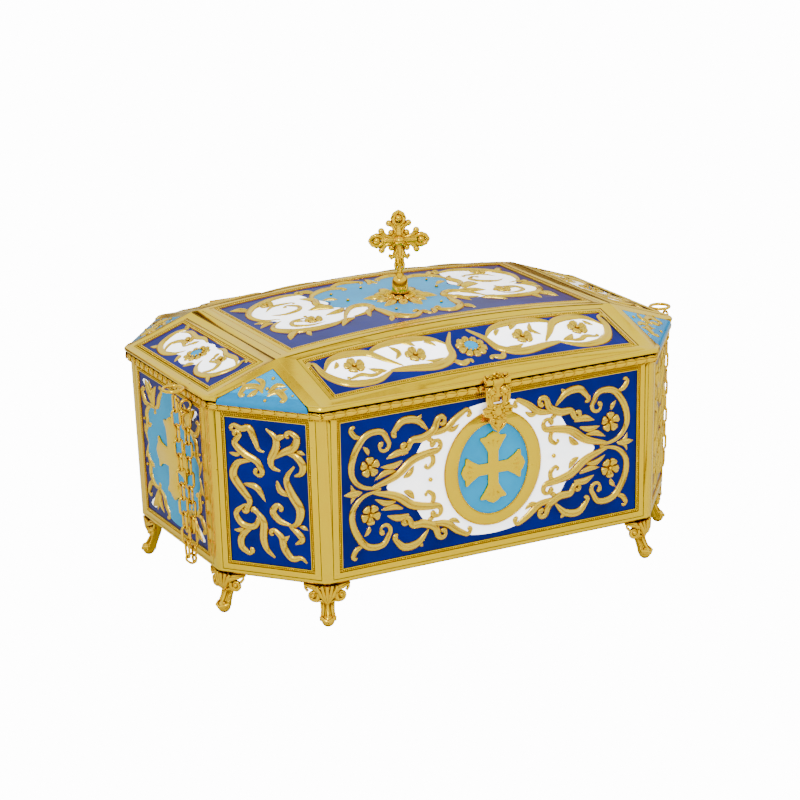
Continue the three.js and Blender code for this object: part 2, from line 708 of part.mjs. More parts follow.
// Two equal outlines, not necessarily convex, joined along straight edges.
function prismBetween(a, b) {
  const n = a.length;
  const normal = new THREE.Vector3(b[0][0] - a[0][0], b[0][1] - a[0][1], b[0][2] - a[0][2]).normalize();
  const across = new THREE.Vector3(-normal.y, normal.x, 0).normalize();
  const contour = a.map((p) => new THREE.Vector2(p[0] * across.x + p[1] * across.y, p[2]));
  const caps = THREE.ShapeUtils.triangulateShape(contour, []);
  if (THREE.ShapeUtils.isClockWise(contour)) caps.forEach((cap) => cap.reverse());
  const faces = [];
  for (let i = 0; i < n; i++) {
    const j = (i + 1) % n;
    faces.push([i, j, n + j], [i, n + j, n + i]);
  }
  for (const [p, q, r] of caps) faces.push([p, r, q], [n + p, n + q, n + r]);
  const mesh = closedMesh([...a, ...b], faces);
  return facingOut(mesh);
}

// Plan triangle of the corner at +X +Y, running out past the rim.
function cornerTriangle(grow) {
  const [ax, ay] = [CREASE_X + 4.2 - grow, CREASE_Y + 4.8 - grow];
  const out = 12;
  return [[ax, ay], [HALF_LENGTH + out, ay - 1.2], [HALF_LENGTH + out, HALF_DEPTH + out],
    [ax - 0.8, HALF_DEPTH + out]];
}

function cornerPanel() {
  const sheet = common(cornerSheet(0, PLATE), prism(cornerTriangle(0), 100, 120));
  const relief = [
    leaf([103, 62], [98, 67], 3), leaf([103, 62], [108, 58.5], 3), dot([99, 60], 1.4),
  ];
  const raised = lifted(join(...relief), (x, y) => LID_HEIGHT.corner(x, y) + FIELD_DEPTH);
  return join(sheet, raised);
}

function cornerFacet() {
  const [right, back] = [corner(3, RIM_OUTSET + 0.4), corner(4, RIM_OUTSET + 0.4)];
  const outline = [[CREASE_X - LAP, CREASE_Y - LAP], [right[0], right[1] - LAP], [back[0] - LAP, back[1]]];
  return lifted(prism(outline, -LID_SHELL, 0), LID_HEIGHT.corner);
}

function quarterTurns(geometry) {
  return [[1, 1], [-1, 1], [-1, -1], [1, -1]].map(([sx, sy]) => {
    const copy = toGeometry(toSolid(geometry)).applyMatrix4(new THREE.Matrix4().makeScale(sx, sy, 1));
    return sx * sy < 0 ? turnedInsideOut(copy) : copy;
  });
}

function lidShell() {
  const rollProfile = [
    [LID_BOTTOM, 0.4], [LID_BOTTOM, 3.3], [103.5, 4.1], [104.3, 4.3], [105, 3.9], [105.4, 3],
    [105.4, 2], [104.6, 0.4],
  ];
  const roll = loft(rollProfile.map(([z, outset]) => ring(z, outset)), true);
  const facets = Object.keys(FACETS).map(lidFacet);
  const whole = join(roll, ...facets, ...quarterTurns(cornerFacet()));
  const seat = common(cornerSheet(6, PLATE + GAP), prism(cornerTriangle(GAP), 100, 125));
  const below = block(-150, -120, 90, 150, 120, LID_BOTTOM);
  return cut(whole, ...quarterTurns(seat), below);
}

add("lid_shell", lidShell(), GILT);
const LID_ORNAMENT = {
  top: lidTopOrnament(), front: lidLongSlopeOrnament(true), back: lidLongSlopeOrnament(false),
  right_end: lidEndSlopeOrnament(), left_end: lidEndSlopeOrnament(),
};
for (const name of Object.keys(FACETS)) {
  add(`lid_panel_${name}`, lidPanel(FACETS[name], LID_ORNAMENT[name]), COBALT);
}
const CORNER_NAMES = ["back_right", "back_left", "front_left", "front_right"];
quarterTurns(cornerPanel()).forEach((panel, k) => add(`lid_panel_${CORNER_NAMES[k]}`, panel, SKY));

// ---------------------------------------------------------------- finial
const CREST = CREASE_Z + CROWN;
const STAND_UP = new THREE.Matrix4().makeRotationX(radians(90)); // from (x, y) in the plan to (x, z)

// A flower-like ring: its radius swells and shrinks once for each petal.
function petalRing(z, radius, petals, depth) {
  return Array.from({ length: 2 * petals }, (_, k) => {
    const t = (Math.PI * k) / petals;
    const r = k % 2 ? radius * (1 - depth) : radius;
    return [r * Math.cos(t), r * Math.sin(t), z];
  });
}

function rosette() {
  const base = CREST - FIELD_DEPTH + GAP;
  return loft([
    petalRing(base, 5, 8, 0.1), petalRing(base + 1.5, 8, 8, 0.3), petalRing(base + 1.9, 4.6, 8, 0.1),
  ]);
}

// Half of an arm of the cross, from its root to its tip, beyond the middle block.
const ARM = [[0.14, 0.11], [0.42, 0.1], [0.58, 0.31], [0.74, 0.26], [0.86, 0.14]];
const CROSS_THICK = 2.6;

function armOutline(turn) {
  const side = ARM.map(([along, across]) => [along * CROSS_REACH, across * CROSS_REACH]);
  const whole = [...side.map(([a, b]) => [a, -b]), [CROSS_REACH, 0], ...[...side].reverse()];
  const t = radians(turn);
  return whole.map(([a, b]) => [a * Math.cos(t) - b * Math.sin(t), a * Math.sin(t) + b * Math.cos(t)]);
}

function finialCross() {
  const arms = prism([0, 90, 180, 270].flatMap(armOutline), -CROSS_THICK / 2, CROSS_THICK / 2);
  const boss = (side) => loft([
    circle([0, 0, 0], 3.2, 6, [1, 0, 0], [0, 1, 0]), circle([0, 0, side * 2.1], 1.6, 6, [1, 0, 0], [0, 1, 0]),
  ]);
  const knot = loft([-1.2, 1.2].map((z) => circle([0, -13.8, z], 3.1, 8, [1, 0, 0], [0, 1, 0])));
  const flat = join(arms, boss(1), turnedInsideOut(boss(-1)), knot).applyMatrix4(STAND_UP)
    .translate(0, 0, CROSS_MIDDLE);
  const base = CREST - FIELD_DEPTH + GAP + 1.9 + GAP;
  const stem = [[base, 3.9], [129, 3.9], [130.3, 3], [132, 1.7], [137, 1.5]];
  const ferrule = loft(stem.map(([z, r]) => circle([0, 0, z], r, 8, [1, 0, 0], [0, 1, 0])));
  return join(ferrule, flat).applyMatrix4(new THREE.Matrix4().makeRotationZ(radians(CROSS_TURN)));
}

add("finial_rosette", rosette(), GILT);
add("finial_cross", finialCross(), GILT);

// ---------------------------------------------------------------- barrel hinges
const BARREL_SIDES = 8;

// A tube along X with a bore for a pin.
function barrel(x0, x1, y, z, outer, bore) {
  const at = (x, radius) => circle([x, y, z], radius, BARREL_SIDES, [0, 1, 0], [0, 0, 1]);
  return loft([at(x0, outer), at(x1, outer), at(x1, bore), at(x0, bore)], true);
}

const HINGE = { halfWidth: 9, knuckle: 1.9, bore: 0.98, pin: 0.9, split: 3.2, thick: 1.4 };

// One back hinge: leaf on the box with two knuckles, leaf on the lid with one between them, and the pin.
// The box's leaf stands just clear of the braid, and the lid's of the roll.
function backHinge(x) {
  const { halfWidth, knuckle, bore, pin, split, thick } = HINGE;
  const [boxFace, lidFace] = [HALF_DEPTH + 3.8, HALF_DEPTH + 4.7];
  const outerSpans = [[x - halfWidth, x - split], [x + split, x + halfWidth]];
  const boxParts = outerSpans.flatMap(([a, b]) => [
    barrel(a, b, HINGE_Y, SEAM_Z, knuckle, bore),
    block(a, boxFace, 98, b, boxFace + thick, SEAM_Z - 1.2),
  ]);
  const boxLeaf = join(block(x - halfWidth, boxFace, 96.4, x + halfWidth, boxFace + thick, 100), ...boxParts);
  const [a, b] = [x - split + GAP, x + split - GAP];
  const lidLeaf = join(
    block(x - halfWidth, lidFace, 105.2, x + halfWidth, lidFace + thick, 107.6),
    barrel(a, b, HINGE_Y, SEAM_Z, knuckle, bore),
    block(a, lidFace + 0.2, SEAM_Z + 1.2, b, lidFace + thick, 106),
  );
  const rod = rodAlongX(x - halfWidth - 0.6, x + halfWidth + 0.6, HINGE_Y, SEAM_Z, pin, BARREL_SIDES);
  return { boxLeaf, lidLeaf, rod };
}

[-1, 1].forEach((side) => {
  const name = side < 0 ? "left" : "right";
  const { boxLeaf, lidLeaf, rod } = backHinge(side * HINGE_X);
  add(`hinge_box_leaf_${name}`, boxLeaf, GILT);
  add(`hinge_lid_leaf_${name}`, lidLeaf, GILT);
  add(`hinge_pin_${name}`, rod, GILT);
});

// ---------------------------------------------------------------- hasp
const HASP_THICK = 1;

// Upright plate in the plane Y = y, drawn as (x, z).
function upright(outline, y, thickness, holes = []) {
  const flat = prism(outline, -thickness / 2, thickness / 2, holes);
  return flat.applyMatrix4(STAND_UP).translate(0, y, 0);
}

function haspLeaf() {
  const side = [
    [2.6, HASP_Z], [2.6, 102.1], [6.2, 102.1], [6.2, 97], [5.4, 93], [7.8, 91.8], [7.3, 88.6],
    [4, 87.4], [4.8, 85.4],
  ];
  const outline = [[0, HASP_TIP], ...[...side].reverse(), ...side.map(([x, z]) => [-x, z])];
  const window = rectangle(-2.4, 93.6, 2.4, 97);
  const plate = upright(outline, HASP_Y, HASP_THICK, [window]);
  const stud = (x, z, radius, height) => loft([[0.2, radius], [height, radius * 0.4]].map(([out, r]) =>
    circle([x, HASP_Y - out, z], r, 6, [1, 0, 0], [0, 0, 1])));
  const knuckle = barrel(-2.6, 2.6, HASP_Y, HASP_Z, 1.5, 0.68);
  const bore = rodAlongX(-3, 3, HASP_Y, HASP_Z, 0.68, BARREL_SIDES);
  const bow = [-3.4, 3.4].map((x) => stud(x, 99.7, 2.6, 1.8));
  return join(cut(plate, bore), knuckle, ...bow, stud(0, 90, 3.2, 1.8), stud(0, 84.4, 2.8, 1.4));
}

function haspLug() {
  const arch = [
    [-6.2, 102.9], [-2.9, 102.9], [-2.9, 106.1], [2.9, 106.1], [2.9, 102.9], [6.2, 102.9],
    [6.2, 107.4], [-6.2, 107.4],
  ];
  const plate = upright(arch, HASP_Y + 1.35, 0.9);
  const knuckles = [[-6.2, -2.9], [2.9, 6.2]].map(([a, b]) => barrel(a, b, HASP_Y, HASP_Z, 1.5, 0.68));
  return join(plate, ...knuckles);
}

// A small hook on the front panel's border, standing behind the hasp's window.
function haspCatch() {
  const wall = -(HALF_DEPTH + leanAt(97)) - GAP;
  const back = HASP_Y + HASP_THICK / 2 + 0.4;
  return join(block(-3, wall - 0.9, 96.1, 3, wall, 98.3), block(-1.8, back, 94.2, 1.8, wall - 0.4, 97.6));
}

add("hasp_lug", haspLug(), GILT);
add("hasp_leaf", haspLeaf(), GILT);
add("hasp_pin", rodAlongX(-6.6, 6.6, HASP_Y, HASP_Z, 0.6, BARREL_SIDES), GILT);
add("hasp_catch", haspCatch(), GILT);

// ---------------------------------------------------------------- stay chains, at the left end and mirrored
const WIRE_SIDES = 4;

function chainRing() {
  return wireLoop(circle([-RING_X, RING_Y, 104.2], RING_RADIUS, 8, [1, 0, 0], [0, 1, 0]), 0.75,
    WIRE_SIDES, [0, 0, 1]);
}

function stapleEye() {
  return wireLoop(circle([-STAPLE_X, STAPLE_Y, STAPLE_Z], STAPLE_RADIUS, 8, [1, 0, 0], [0, 0, 1]), 0.7,
    WIRE_SIDES, [0, -1, 0]);
}

// The chain hangs as a narrow U from the eye (inner strand) to the ring (outer strand).
function chainLine() {
  const bend = 1.5;
  const inner = new THREE.Vector3(-STAPLE_X, STAPLE_Y, STAPLE_Z - STAPLE_RADIUS - LINK_WIRE - GAP);
  const outer = new THREE.Vector3(-131.2, RING_Y - RING_RADIUS + 1.2, 104.2 - 0.75 - LINK_WIRE - GAP);
  const low = (x) => new THREE.Vector3(x, -31, CHAIN_LOW + bend);
  const path = new THREE.CurvePath();
  const [near, far] = [low(-125.6), low(-128.6)];
  const under = new THREE.Vector3(-127.1, -31, CHAIN_LOW - bend);
  path.add(new THREE.LineCurve3(inner, near));
  path.add(new THREE.QuadraticBezierCurve3(near, under, far));
  path.add(new THREE.LineCurve3(far, outer));
  return path.getSpacedPoints(CHAIN_LINKS);
}

function chainLink(from, to, sideways) {
  const along = to.clone().sub(from).normalize();
  const across = sideways.clone().addScaledVector(along, -sideways.dot(along)).normalize();
  const reach = LINK_WIRE * 0.28;
  const corners = [
    [from, -reach, -1], [from, -reach, 1], [to, reach, 1], [to, reach, -1],
  ].map(([end, shift, side]) => end.clone().addScaledVector(along, shift)
    .addScaledVector(across, side * LINK_HALF_WIDTH).toArray());
  return wireLoop(corners, LINK_WIRE / 2, 3, across.cross(along).toArray());
}

function chain() {
  const points = chainLine();
  const faces = [new THREE.Vector3(1, 0, 0), new THREE.Vector3(0, 1, 0)];
  const links = points.slice(1).map((to, k) => chainLink(points[k], to, faces[k % 2]));
  return join(...links);
}

for (const [side, make] of [["left", (g) => g], ["right", mirroredInX]]) {
  add(`lid_ring_${side}`, make(chainRing()), GILT);
  add(`staple_${side}`, make(stapleEye()), GILT);
  add(`chain_${side}`, make(chain()), GILT);
}

function mirroredInX(geometry) {
  return turnedInsideOut(toGeometry(toSolid(geometry)).applyMatrix4(new THREE.Matrix4().makeScale(-1, 1, 1)));
}

export default casket;
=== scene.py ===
"""A reliquary casket: gilt copper frames, champleve enamel panels, a domed lid with a cross, a hasp and
stay chains.

Lengths are in millimetres until a piece is set in place, which brings it to metres.
"""
import math

import bpy
from mathutils import Matrix, Vector


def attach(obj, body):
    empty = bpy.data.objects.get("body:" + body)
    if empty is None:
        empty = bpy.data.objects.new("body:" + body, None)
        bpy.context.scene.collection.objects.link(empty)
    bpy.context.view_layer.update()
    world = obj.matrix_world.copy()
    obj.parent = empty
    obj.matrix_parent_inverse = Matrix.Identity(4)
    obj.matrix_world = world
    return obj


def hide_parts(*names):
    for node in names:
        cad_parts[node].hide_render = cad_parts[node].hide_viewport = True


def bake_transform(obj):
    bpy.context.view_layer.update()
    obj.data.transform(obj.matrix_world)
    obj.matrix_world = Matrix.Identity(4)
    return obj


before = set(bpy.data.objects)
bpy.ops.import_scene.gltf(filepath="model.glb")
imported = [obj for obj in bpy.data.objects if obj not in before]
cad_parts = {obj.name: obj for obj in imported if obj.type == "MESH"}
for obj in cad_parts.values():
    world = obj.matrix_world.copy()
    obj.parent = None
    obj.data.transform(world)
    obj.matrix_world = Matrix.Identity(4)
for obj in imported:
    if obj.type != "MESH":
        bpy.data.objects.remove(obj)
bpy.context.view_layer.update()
MM = 0.001
UP = Vector((0, 0, 1))

# ---------------------------------------------------------------- sizes shared with the solids
HALF_LENGTH, HALF_DEPTH = 120, 87
CUT_X, CUT_Y = 34.5, 41.7  # what the cut corners take off the length and the depth
LEAN = 0.02  # the walls' outward lean
FOOT_HEIGHT = 20
FIELD_BOTTOM, FIELD_TOP = 27.25, 96
WALL_BORDER, WALL_TOP_BORDER = 4.6, 2.6
CREASE_X, CREASE_Y, CREASE_Z = 88, 47.3, 117
RIM_Z, RIM_OUTSET, CROWN = 105.2, 2.2, 5.4
LID_BORDER, RIM_BORDER = 3.4, 2.2
CROSS_TURN, CROSS_MIDDLE = -23, 150.2
HASP_Y = -93.4

WALL_NAMES = ["front", "front_right", "right_end", "back_right", "back", "back_left", "left_end", "front_left"]
_x, _y = HALF_LENGTH - CUT_X, HALF_DEPTH - CUT_Y
CORNERS = [(-_x, -HALF_DEPTH), (_x, -HALF_DEPTH), (HALF_LENGTH, -_y), (HALF_LENGTH, _y),
           (_x, HALF_DEPTH), (-_x, HALF_DEPTH), (-HALF_LENGTH, _y), (-HALF_LENGTH, -_y)]


def side(i):
    """Start, direction, outward normal and length of side i of the plan."""
    a, b = Vector(CORNERS[i % 8]), Vector(CORNERS[(i + 1) % 8])
    along = (b - a).normalized()
    return a, along, Vector((along.y, -along.x)), (b - a).length


# ---------------------------------------------------------------- small modelling tools
def pick(*objects):
    """Leaves only these objects selected, the first one active."""
    for other in bpy.context.selected_objects:
        other.select_set(False)
    for o in objects:
        o.select_set(True)
    bpy.context.view_layer.objects.active = objects[0]


def edit(on=True):
    bpy.ops.object.mode_set(mode="EDIT" if on else "OBJECT")


def linked(name, data):
    """An object with this data, in the scene."""
    o = bpy.data.objects.new(name, data)
    bpy.context.scene.collection.objects.link(o)
    return o


def new_piece(name):
    """The active object under a new name."""
    o = bpy.context.object
    o.name = o.data.name = name
    return o


def paint(o, *materials):
    o.data.materials.clear()
    for m in materials:
        o.data.materials.append(m)
    return o


def smooth(o, angle):
    pick(o)
    bpy.ops.object.shade_smooth_by_angle(angle=math.radians(angle))
    return o


def joined(name, objects):
    pick(*objects)
    if len(objects) > 1:
        bpy.ops.object.join()
    return new_piece(name)


def set_in_place(o, surface=lambda x, y, z: Vector((x, y, z))):
    """Moves each point of a flat piece (u, v, height) onto a surface, and to metres."""
    for v in o.data.vertices:
        v.co = surface(*v.co) * MM
    o.data.update()
    return o


def face_outward(o):
    pick(o)
    edit()
    bpy.ops.mesh.select_all(action="SELECT")
    bpy.ops.mesh.remove_doubles(threshold=1e-5)
    bpy.ops.mesh.normals_make_consistent(inside=False)
    edit(False)
    return o


def slice_across(o, stations, normal=(1, 0, 0), threshold=1e-4):
    """Cuts a piece at each distance along a direction, so that it can follow a curved surface."""
    pick(o)
    edit()
    for reach in stations:
        bpy.ops.mesh.select_all(action="SELECT")
        bpy.ops.mesh.bisect(plane_co=Vector(normal) * reach, plane_no=normal, threshold=threshold)
    edit(False)


def bevelled(o, width, segments, angle=50, slide=True):
    """Rounds the edges that turn by more than an angle."""
    pick(o)
    bevel = o.modifiers.new("edges", "BEVEL")
    bevel.width, bevel.segments, bevel.loop_slide = width, segments, slide
    bevel.limit_method, bevel.angle_limit = "ANGLE", math.radians(angle)
    bpy.ops.object.modifier_apply(modifier=bevel.name)
    return o


def shape_made():
    """Points and faces of the primitive just added, which is taken away again."""
    o = bpy.context.object
    o.data.transform(o.matrix_world)
    shape = [v.co.copy() for v in o.data.vertices], [tuple(f.vertices) for f in o.data.polygons]
    bpy.data.objects.remove(o)
    return shape


def ball_shape(subdivisions):
    bpy.ops.mesh.primitive_ico_sphere_add(subdivisions=subdivisions, radius=1)
    return shape_made()


def repeated(name, shape, places):
    """One mesh with a copy of a shape at each place, given as its middle and its size."""
    corners, faces = shape
    points, polygons = [], []
    for at, size in places:
        start = len(points)
        points += [at + c * size for c in corners]
        polygons += [tuple(start + k for k in f) for f in faces]
    data = bpy.data.meshes.new(name)
    data.from_pydata(points, [], polygons)
    for f in data.polygons:
        f.use_smooth = True
    return linked(name, data)


def domes(name, spots):
    """Small coarse balls, half sunk, one at each (u, v, height, radius)."""
    return repeated(name, ball_shape(1), [(Vector(at), radius) for *at, radius in spots])


def softened_copy(node, width, cut=()):
    """A copy of a CAD node: doubles merged, flat faces joined, cut across at some x, edges rounded."""
    o = linked(node + "_finished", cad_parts[node].data.copy())
    pick(o)
    edit()
    bpy.ops.mesh.select_all(action="SELECT")
    bpy.ops.mesh.remove_doubles(threshold=2e-5)
    bpy.ops.mesh.dissolve_limited(angle_limit=math.radians(0.6))
    edit(False)
    slice_across(o, [x * MM for x in cut], threshold=1e-6)
    return bevelled(o, width * MM, 2, 25, slide=False)


# ---------------------------------------------------------------- lines of the ornament
BOLD = 1.25  # the scrolls and leaves are this much fuller than drawn
BUD = 0.4  # radius of the round bud at a curl, for a scroll of width 1
SLENDEREST = 0.2  # share of its full width that a scroll keeps at its ends
PETAL = ((0.1, 0.3), (0.4, 0.6), (0.7, 1), (0.9, 0.9), (1, 0.5))  # reach and width along a petal


def flow(points, step=1.1, closed=False):
    """A smooth line through a few points."""
    p = [Vector(q) for q in points]
    n = len(p)
    ends = [p[-1], *p, p[0], p[1]] if closed else [2 * p[0] - p[1], *p, 2 * p[-1] - p[-2]]
    line = []
    for k in range(n if closed else n - 1):
        a, b, c, d = ends[k:k + 4]
        parts = max(2, round((c - b).length / step))
        for j in range(parts):
            t = j / parts
            line.append(0.5 * (2 * b + (c - a) * t + (2 * a - 5 * b + 4 * c - d) * t * t
                               + (3 * b - a - 3 * c + d) * t ** 3))
    return line if closed else [*line, p[-1]]


def curled(line, radius, turn):
    """The same line with a shrinking spiral at its end; a negative radius turns right."""
    at, heading = line[-1].copy(), line[-1] - line[-2]
    angle = math.atan2(heading.y, heading.x)
    steps = round(turn / 20)
    bend = math.copysign(math.radians(turn) / steps, radius)
    added = []
    for k in range(steps):
        angle += bend
        reach = abs(radius) * (1 - 0.62 * k / steps) * abs(bend)
        at = at + Vector((math.cos(angle), math.sin(angle))) * reach
        added.append(at)
    return [*line, *added]


def half_widths(line, width, head_bud, tail_bud, full):
    """Half-widths along a scroll: slender at a point, full in the middle, a round bud at a curl."""
    far = [0.0]
    for a, b in zip(line, line[1:]):
        far.append(far[-1] + (b - a).length)
    total, bud = far[-1], BUD * width
    widths = []
    for d in far:
        half = width / 2 * max(SLENDEREST, math.sin(math.pi * (0.05 + 0.9 * (d / total) ** full)) ** 0.75)
        for has_bud, gap in ((head_bud, d), (tail_bud, total - d)):
            if has_bud and gap < 2 * bud:
                half = max(half, math.sqrt(max(0.01, bud ** 2 - (gap - bud) ** 2)))
        widths.append(half)
    return widths


def scroll(points, width=3.0, head=0, tail=0, full=1.0, turn=310):
    """A tapering scroll (u, v, half-width) through a few points, with a curl at its head or tail."""
    line = flow(points)
    if tail:
        line = curled(line, tail, turn)
    if head:
        line = curled(line[::-1], head, turn)[::-1]
    return [(p.x, p.y, w) for p, w in zip(line, half_widths(line, width * BOLD, head, tail, full))]


def leaf(base, tip, width=3.0, bow=0.12):
    """A pointed leaf, a little bowed to one side."""
    a, b = Vector(base), Vector(tip)
    across = Vector((-(b - a).y, (b - a).x)) * bow
    line = flow([a, a.lerp(b, 0.45) + across, b], 0.9)
    last = len(line) - 1
    full = width * BOLD / 2
    return [(p.x, p.y, max(0.12, full * math.sin(math.pi * min(1, 0.06 + k / last * 0.94)) ** 0.8))
            for k, p in enumerate(line)]


def spun(points, degrees):
    """The points turned about the middle."""
    c, s = math.cos(math.radians(degrees)), math.sin(math.radians(degrees))
    return [(u * c - v * s, u * s + v * c, *rest) for u, v, *rest in points]


def flower(u, v, radius, petals=5, start=90):
    """Petals round a middle; its bead is added by the caller."""
    full = 1.62 * radius * math.sin(math.pi / petals) / 2
    petal = [(reach * radius, 0, w * full) for reach, w in PETAL]
    return [[(u + a, v + b, w) for a, b, w in spun(petal, start + 360 * k / petals)] for k in range(petals)]


def mirrored(lines, in_v=False):
    """The lines with their mirror images in u, or in u and v."""
    return [[(su * u, sv * v, *rest) for u, v, *rest in line]
            for su in (1, -1) for sv in ((1, -1) if in_v else (1,)) for line in lines]


def mirrored_dots(dots, in_v=False):
    return [dot for some in mirrored([dots], in_v) for dot in some]


def oval(half_u, half_v, steps=64):
    return [(half_u * math.cos(2 * math.pi * k / steps), half_v * math.sin(2 * math.pi * k / steps))
            for k in range(steps)]


def two_sided(half, step=1.4):
    """A closed smooth outline from its half on one side; both ends of the half have u = 0."""
    return flow(half + [(-u, v) for u, v in half[-2:0:-1]], step, closed=True)


def four_sided(quarter):
    """A closed smooth outline from its first quarter, from v = 0 to u = 0."""
    return two_sided([(u, -v) for u, v in quarter[:0:-1]] + quarter)


def spread(length, pitch):
    """Even places along a length, about a pitch apart, counted from its middle."""
    count = round(length / pitch)
    return [(k + 0.5 - count / 2) * length / count for k in range(count)]


# Section of a chased scroll: a rounded ridge with a groove beside its crest, for a half-width of 1.
CHASED = [(-1, -0.25), (-1, 0.1), (-0.78, 0.5), (-0.3, 0.74), (-0.05, 0.6), (0.2, 0.74), (0.72, 0.5), (1, 0.1),
          (1, -0.25)]
ROUND = oval(1, 1, 10)


def outline_curve(name, outlines):
    data = bpy.data.curves.new(name, "CURVE")
    data.dimensions = "2D"
    for outline in outlines:
        line = data.splines.new("POLY")
        line.points.add(len(outline) - 1)
        for p, (u, v) in zip(line.points, outline):
            p.co = (u, v, 0, 1)
        line.use_cyclic_u = True
    return linked(name, data)


SECTIONS = {"chased": outline_curve("section_chased", [CHASED]), "round": outline_curve("section_round", [ROUND])}


def strokes(name, lines, height=0.0, shape="chased", closed=False, twist="Z_UP"):
    """Sweeps a section along each line (u, v, half-width) or (x, y, z, half-width) and makes it a mesh."""
    data = bpy.data.curves.new(name, "CURVE")
    data.dimensions = "3D"
    data.twist_mode = twist
    for line in lines:
        spline = data.splines.new("POLY")
        spline.points.add(len(line) - 1)
        for p, (*at, half) in zip(spline.points, line):
            p.co = (*at, *([height] if len(at) == 2 else []), 1)
            p.radius = half
        spline.use_cyclic_u = closed
        spline.use_smooth = True
    data.bevel_mode = "OBJECT"
    data.bevel_object = SECTIONS[shape]
    data.use_fill_caps = not closed
    pick(linked(name, data))
    bpy.ops.object.convert(target="MESH")
    return face_outward(new_piece(name))


def filled(name, outlines, low, high):
    """A slab with these outlines; one inside another is a hole."""
    o = outline_curve(name, outlines)
    o.data.fill_mode = "BOTH"
    o.data.extrude = (high - low) / 2
    pick(o)
    bpy.ops.object.convert(target="MESH")
    o = new_piece(name)
    for v in o.data.vertices:
        v.co.z += (low + high) / 2
    return face_outward(o)


# ---------------------------------------------------------------- materials
def linear(hex_colour):
    """An sRGB hex colour as linear RGBA."""
    values = [int(hex_colour[k:k + 2], 16) / 255 for k in (1, 3, 5)]
    return (*[c / 12.92 if c <= 0.04045 else ((c + 0.055) / 1.055) ** 2.4 for c in values], 1)


def grey(v):
    return (v, v, v, 1)


def add_node(tree, kind, settings=None, **inputs):
    """Adds a node; an input is a value or another node's socket, named with _ for a space or i and its number."""
    n = tree.nodes.new(kind)
    for key, value in (settings or {}).items():
        setattr(n, key, value)
    for key, value in inputs.items():
        socket = n.inputs[int(key[1:])] if key[1:].isdigit() else n.inputs[key.replace("_", " ")]
        if isinstance(value, bpy.types.NodeSocket):
            tree.links.new(value, socket)
        else:
            socket.default_value = value
    return n


def ramp(tree, factor, *stops):
    n = add_node(tree, "ShaderNodeValToRGB", Fac=factor)
    elements = n.color_ramp.elements
    while len(elements) < len(stops):
        elements.new(0.5)
    for e, (at, colour) in zip(elements, stops):
        e.position, e.color = at, colour
    return n.outputs["Color"]


def noise(tree, place, scale, detail, **more):
    return add_node(tree, "ShaderNodeTexNoise", Vector=place, Scale=scale, Detail=detail, **more).outputs["Fac"]


def mixed(tree, share, a, b):
    """Colour a, or b where the share is 1."""
    return add_node(tree, "ShaderNodeMix", {"data_type": "RGBA"}, i0=share, i6=a, i7=b).outputs[2]


def bumps(tree, shader, coarse, fine):
    """Two bumps, the fine one on the coarse one; each is a height, a strength and a depth in metres."""
    below = {}
    for height, strength, depth in (coarse, fine):
        n = add_node(tree, "ShaderNodeBump", Strength=strength, Distance=depth, Height=height, **below)
        below = {"Normal": n.outputs["Normal"]}
    tree.links.new(below["Normal"], shader.inputs["Normal"])


def new_material(name):
    m = bpy.data.materials.new(name)
    m.use_nodes = True
    tree = m.node_tree
    tree.nodes.clear()
    place = add_node(tree, "ShaderNodeTexCoord").outputs["Object"]
    shader = add_node(tree, "ShaderNodeBsdfPrincipled")
    out = add_node(tree, "ShaderNodeOutputMaterial")
    tree.links.new(shader.outputs["BSDF"], out.inputs["Surface"])
    return m, tree, place, shader


def gilt(name, bright, deep, cast_grain, roughness, worn):
    """Fire-gilt copper, cast or pressed and polished: bright yellow, a fine cast skin, and darker spots
    where the gilding has gone brown and green. A higher worn leaves fewer spots."""
    m, tree, place, shader = new_material(name)
    waves = noise(tree, place, 120.0, 2.0)  # polishing waves of about 8 mm
    skin = noise(tree, place, cast_grain, 3.0)  # the cast skin of about 0.5 mm
    spots = noise(tree, place, 330.0, 4.0, Roughness=0.65)  # spots of about 3 mm
    mask = ramp(tree, spots, (worn, grey(0)), (worn + 0.06, grey(1)))
    colour = mixed(tree, mask, mixed(tree, waves, linear(bright), linear(deep)), linear("#6B5A1C"))
    # Painted shade: within 2.5 mm of a neighbour the gold is mixed to deep amber, standing in for the shade that
    # falls in the recesses.
    near = add_node(tree, "ShaderNodeAmbientOcclusion", {"samples": 6}, Distance=2.5 * MM)
    painted_recess_shade = ramp(tree, near.outputs["AO"], (0.35, grey(1)), (0.93, grey(0)))
    tree.links.new(mixed(tree, painted_recess_shade, colour, linear("#8A4E00")), shader.inputs["Base Color"])
    shader.inputs["Metallic"].default_value = 1.0
    clean = add_node(tree, "ShaderNodeMapRange", Value=skin, i1=0.3, i2=0.7, i3=roughness * 0.8, i4=roughness * 1.3)
    spotted = add_node(tree, "ShaderNodeMix", {"data_type": "FLOAT"}, i0=mask, i2=clean.outputs[0], i3=0.6)
    tree.links.new(spotted.outputs[0], shader.inputs["Roughness"])
    bumps(tree, shader, (waves, 0.16, 0.6 * MM), (skin, 0.05, 0.08 * MM))
    return m


def enamel(name, colour, shade):
    """Vitreous enamel fired into the cells: even glassy colour, a touch darker where it pools, and the slow
    ripple of a surface that was once molten."""
    m, tree, place, shader = new_material(name)
    pool, fine = noise(tree, place, 60.0, 2.0), noise(tree, place, 900.0, 2.0)
    tone = ramp(tree, pool, (0.35, linear(shade)), (0.62, linear(colour)))
    tree.links.new(tone, shader.inputs["Base Color"])
    for key, value in (("Roughness", 0.1), ("IOR", 1.5), ("Specular IOR Level", 0.06), ("Coat Weight", 0.03),
                       ("Coat Roughness", 0.04)):
        shader.inputs[key].default_value = value
    bumps(tree, shader, (pool, 0.12, 0.8 * MM), (fine, 0.05, 0.1 * MM))
    return m


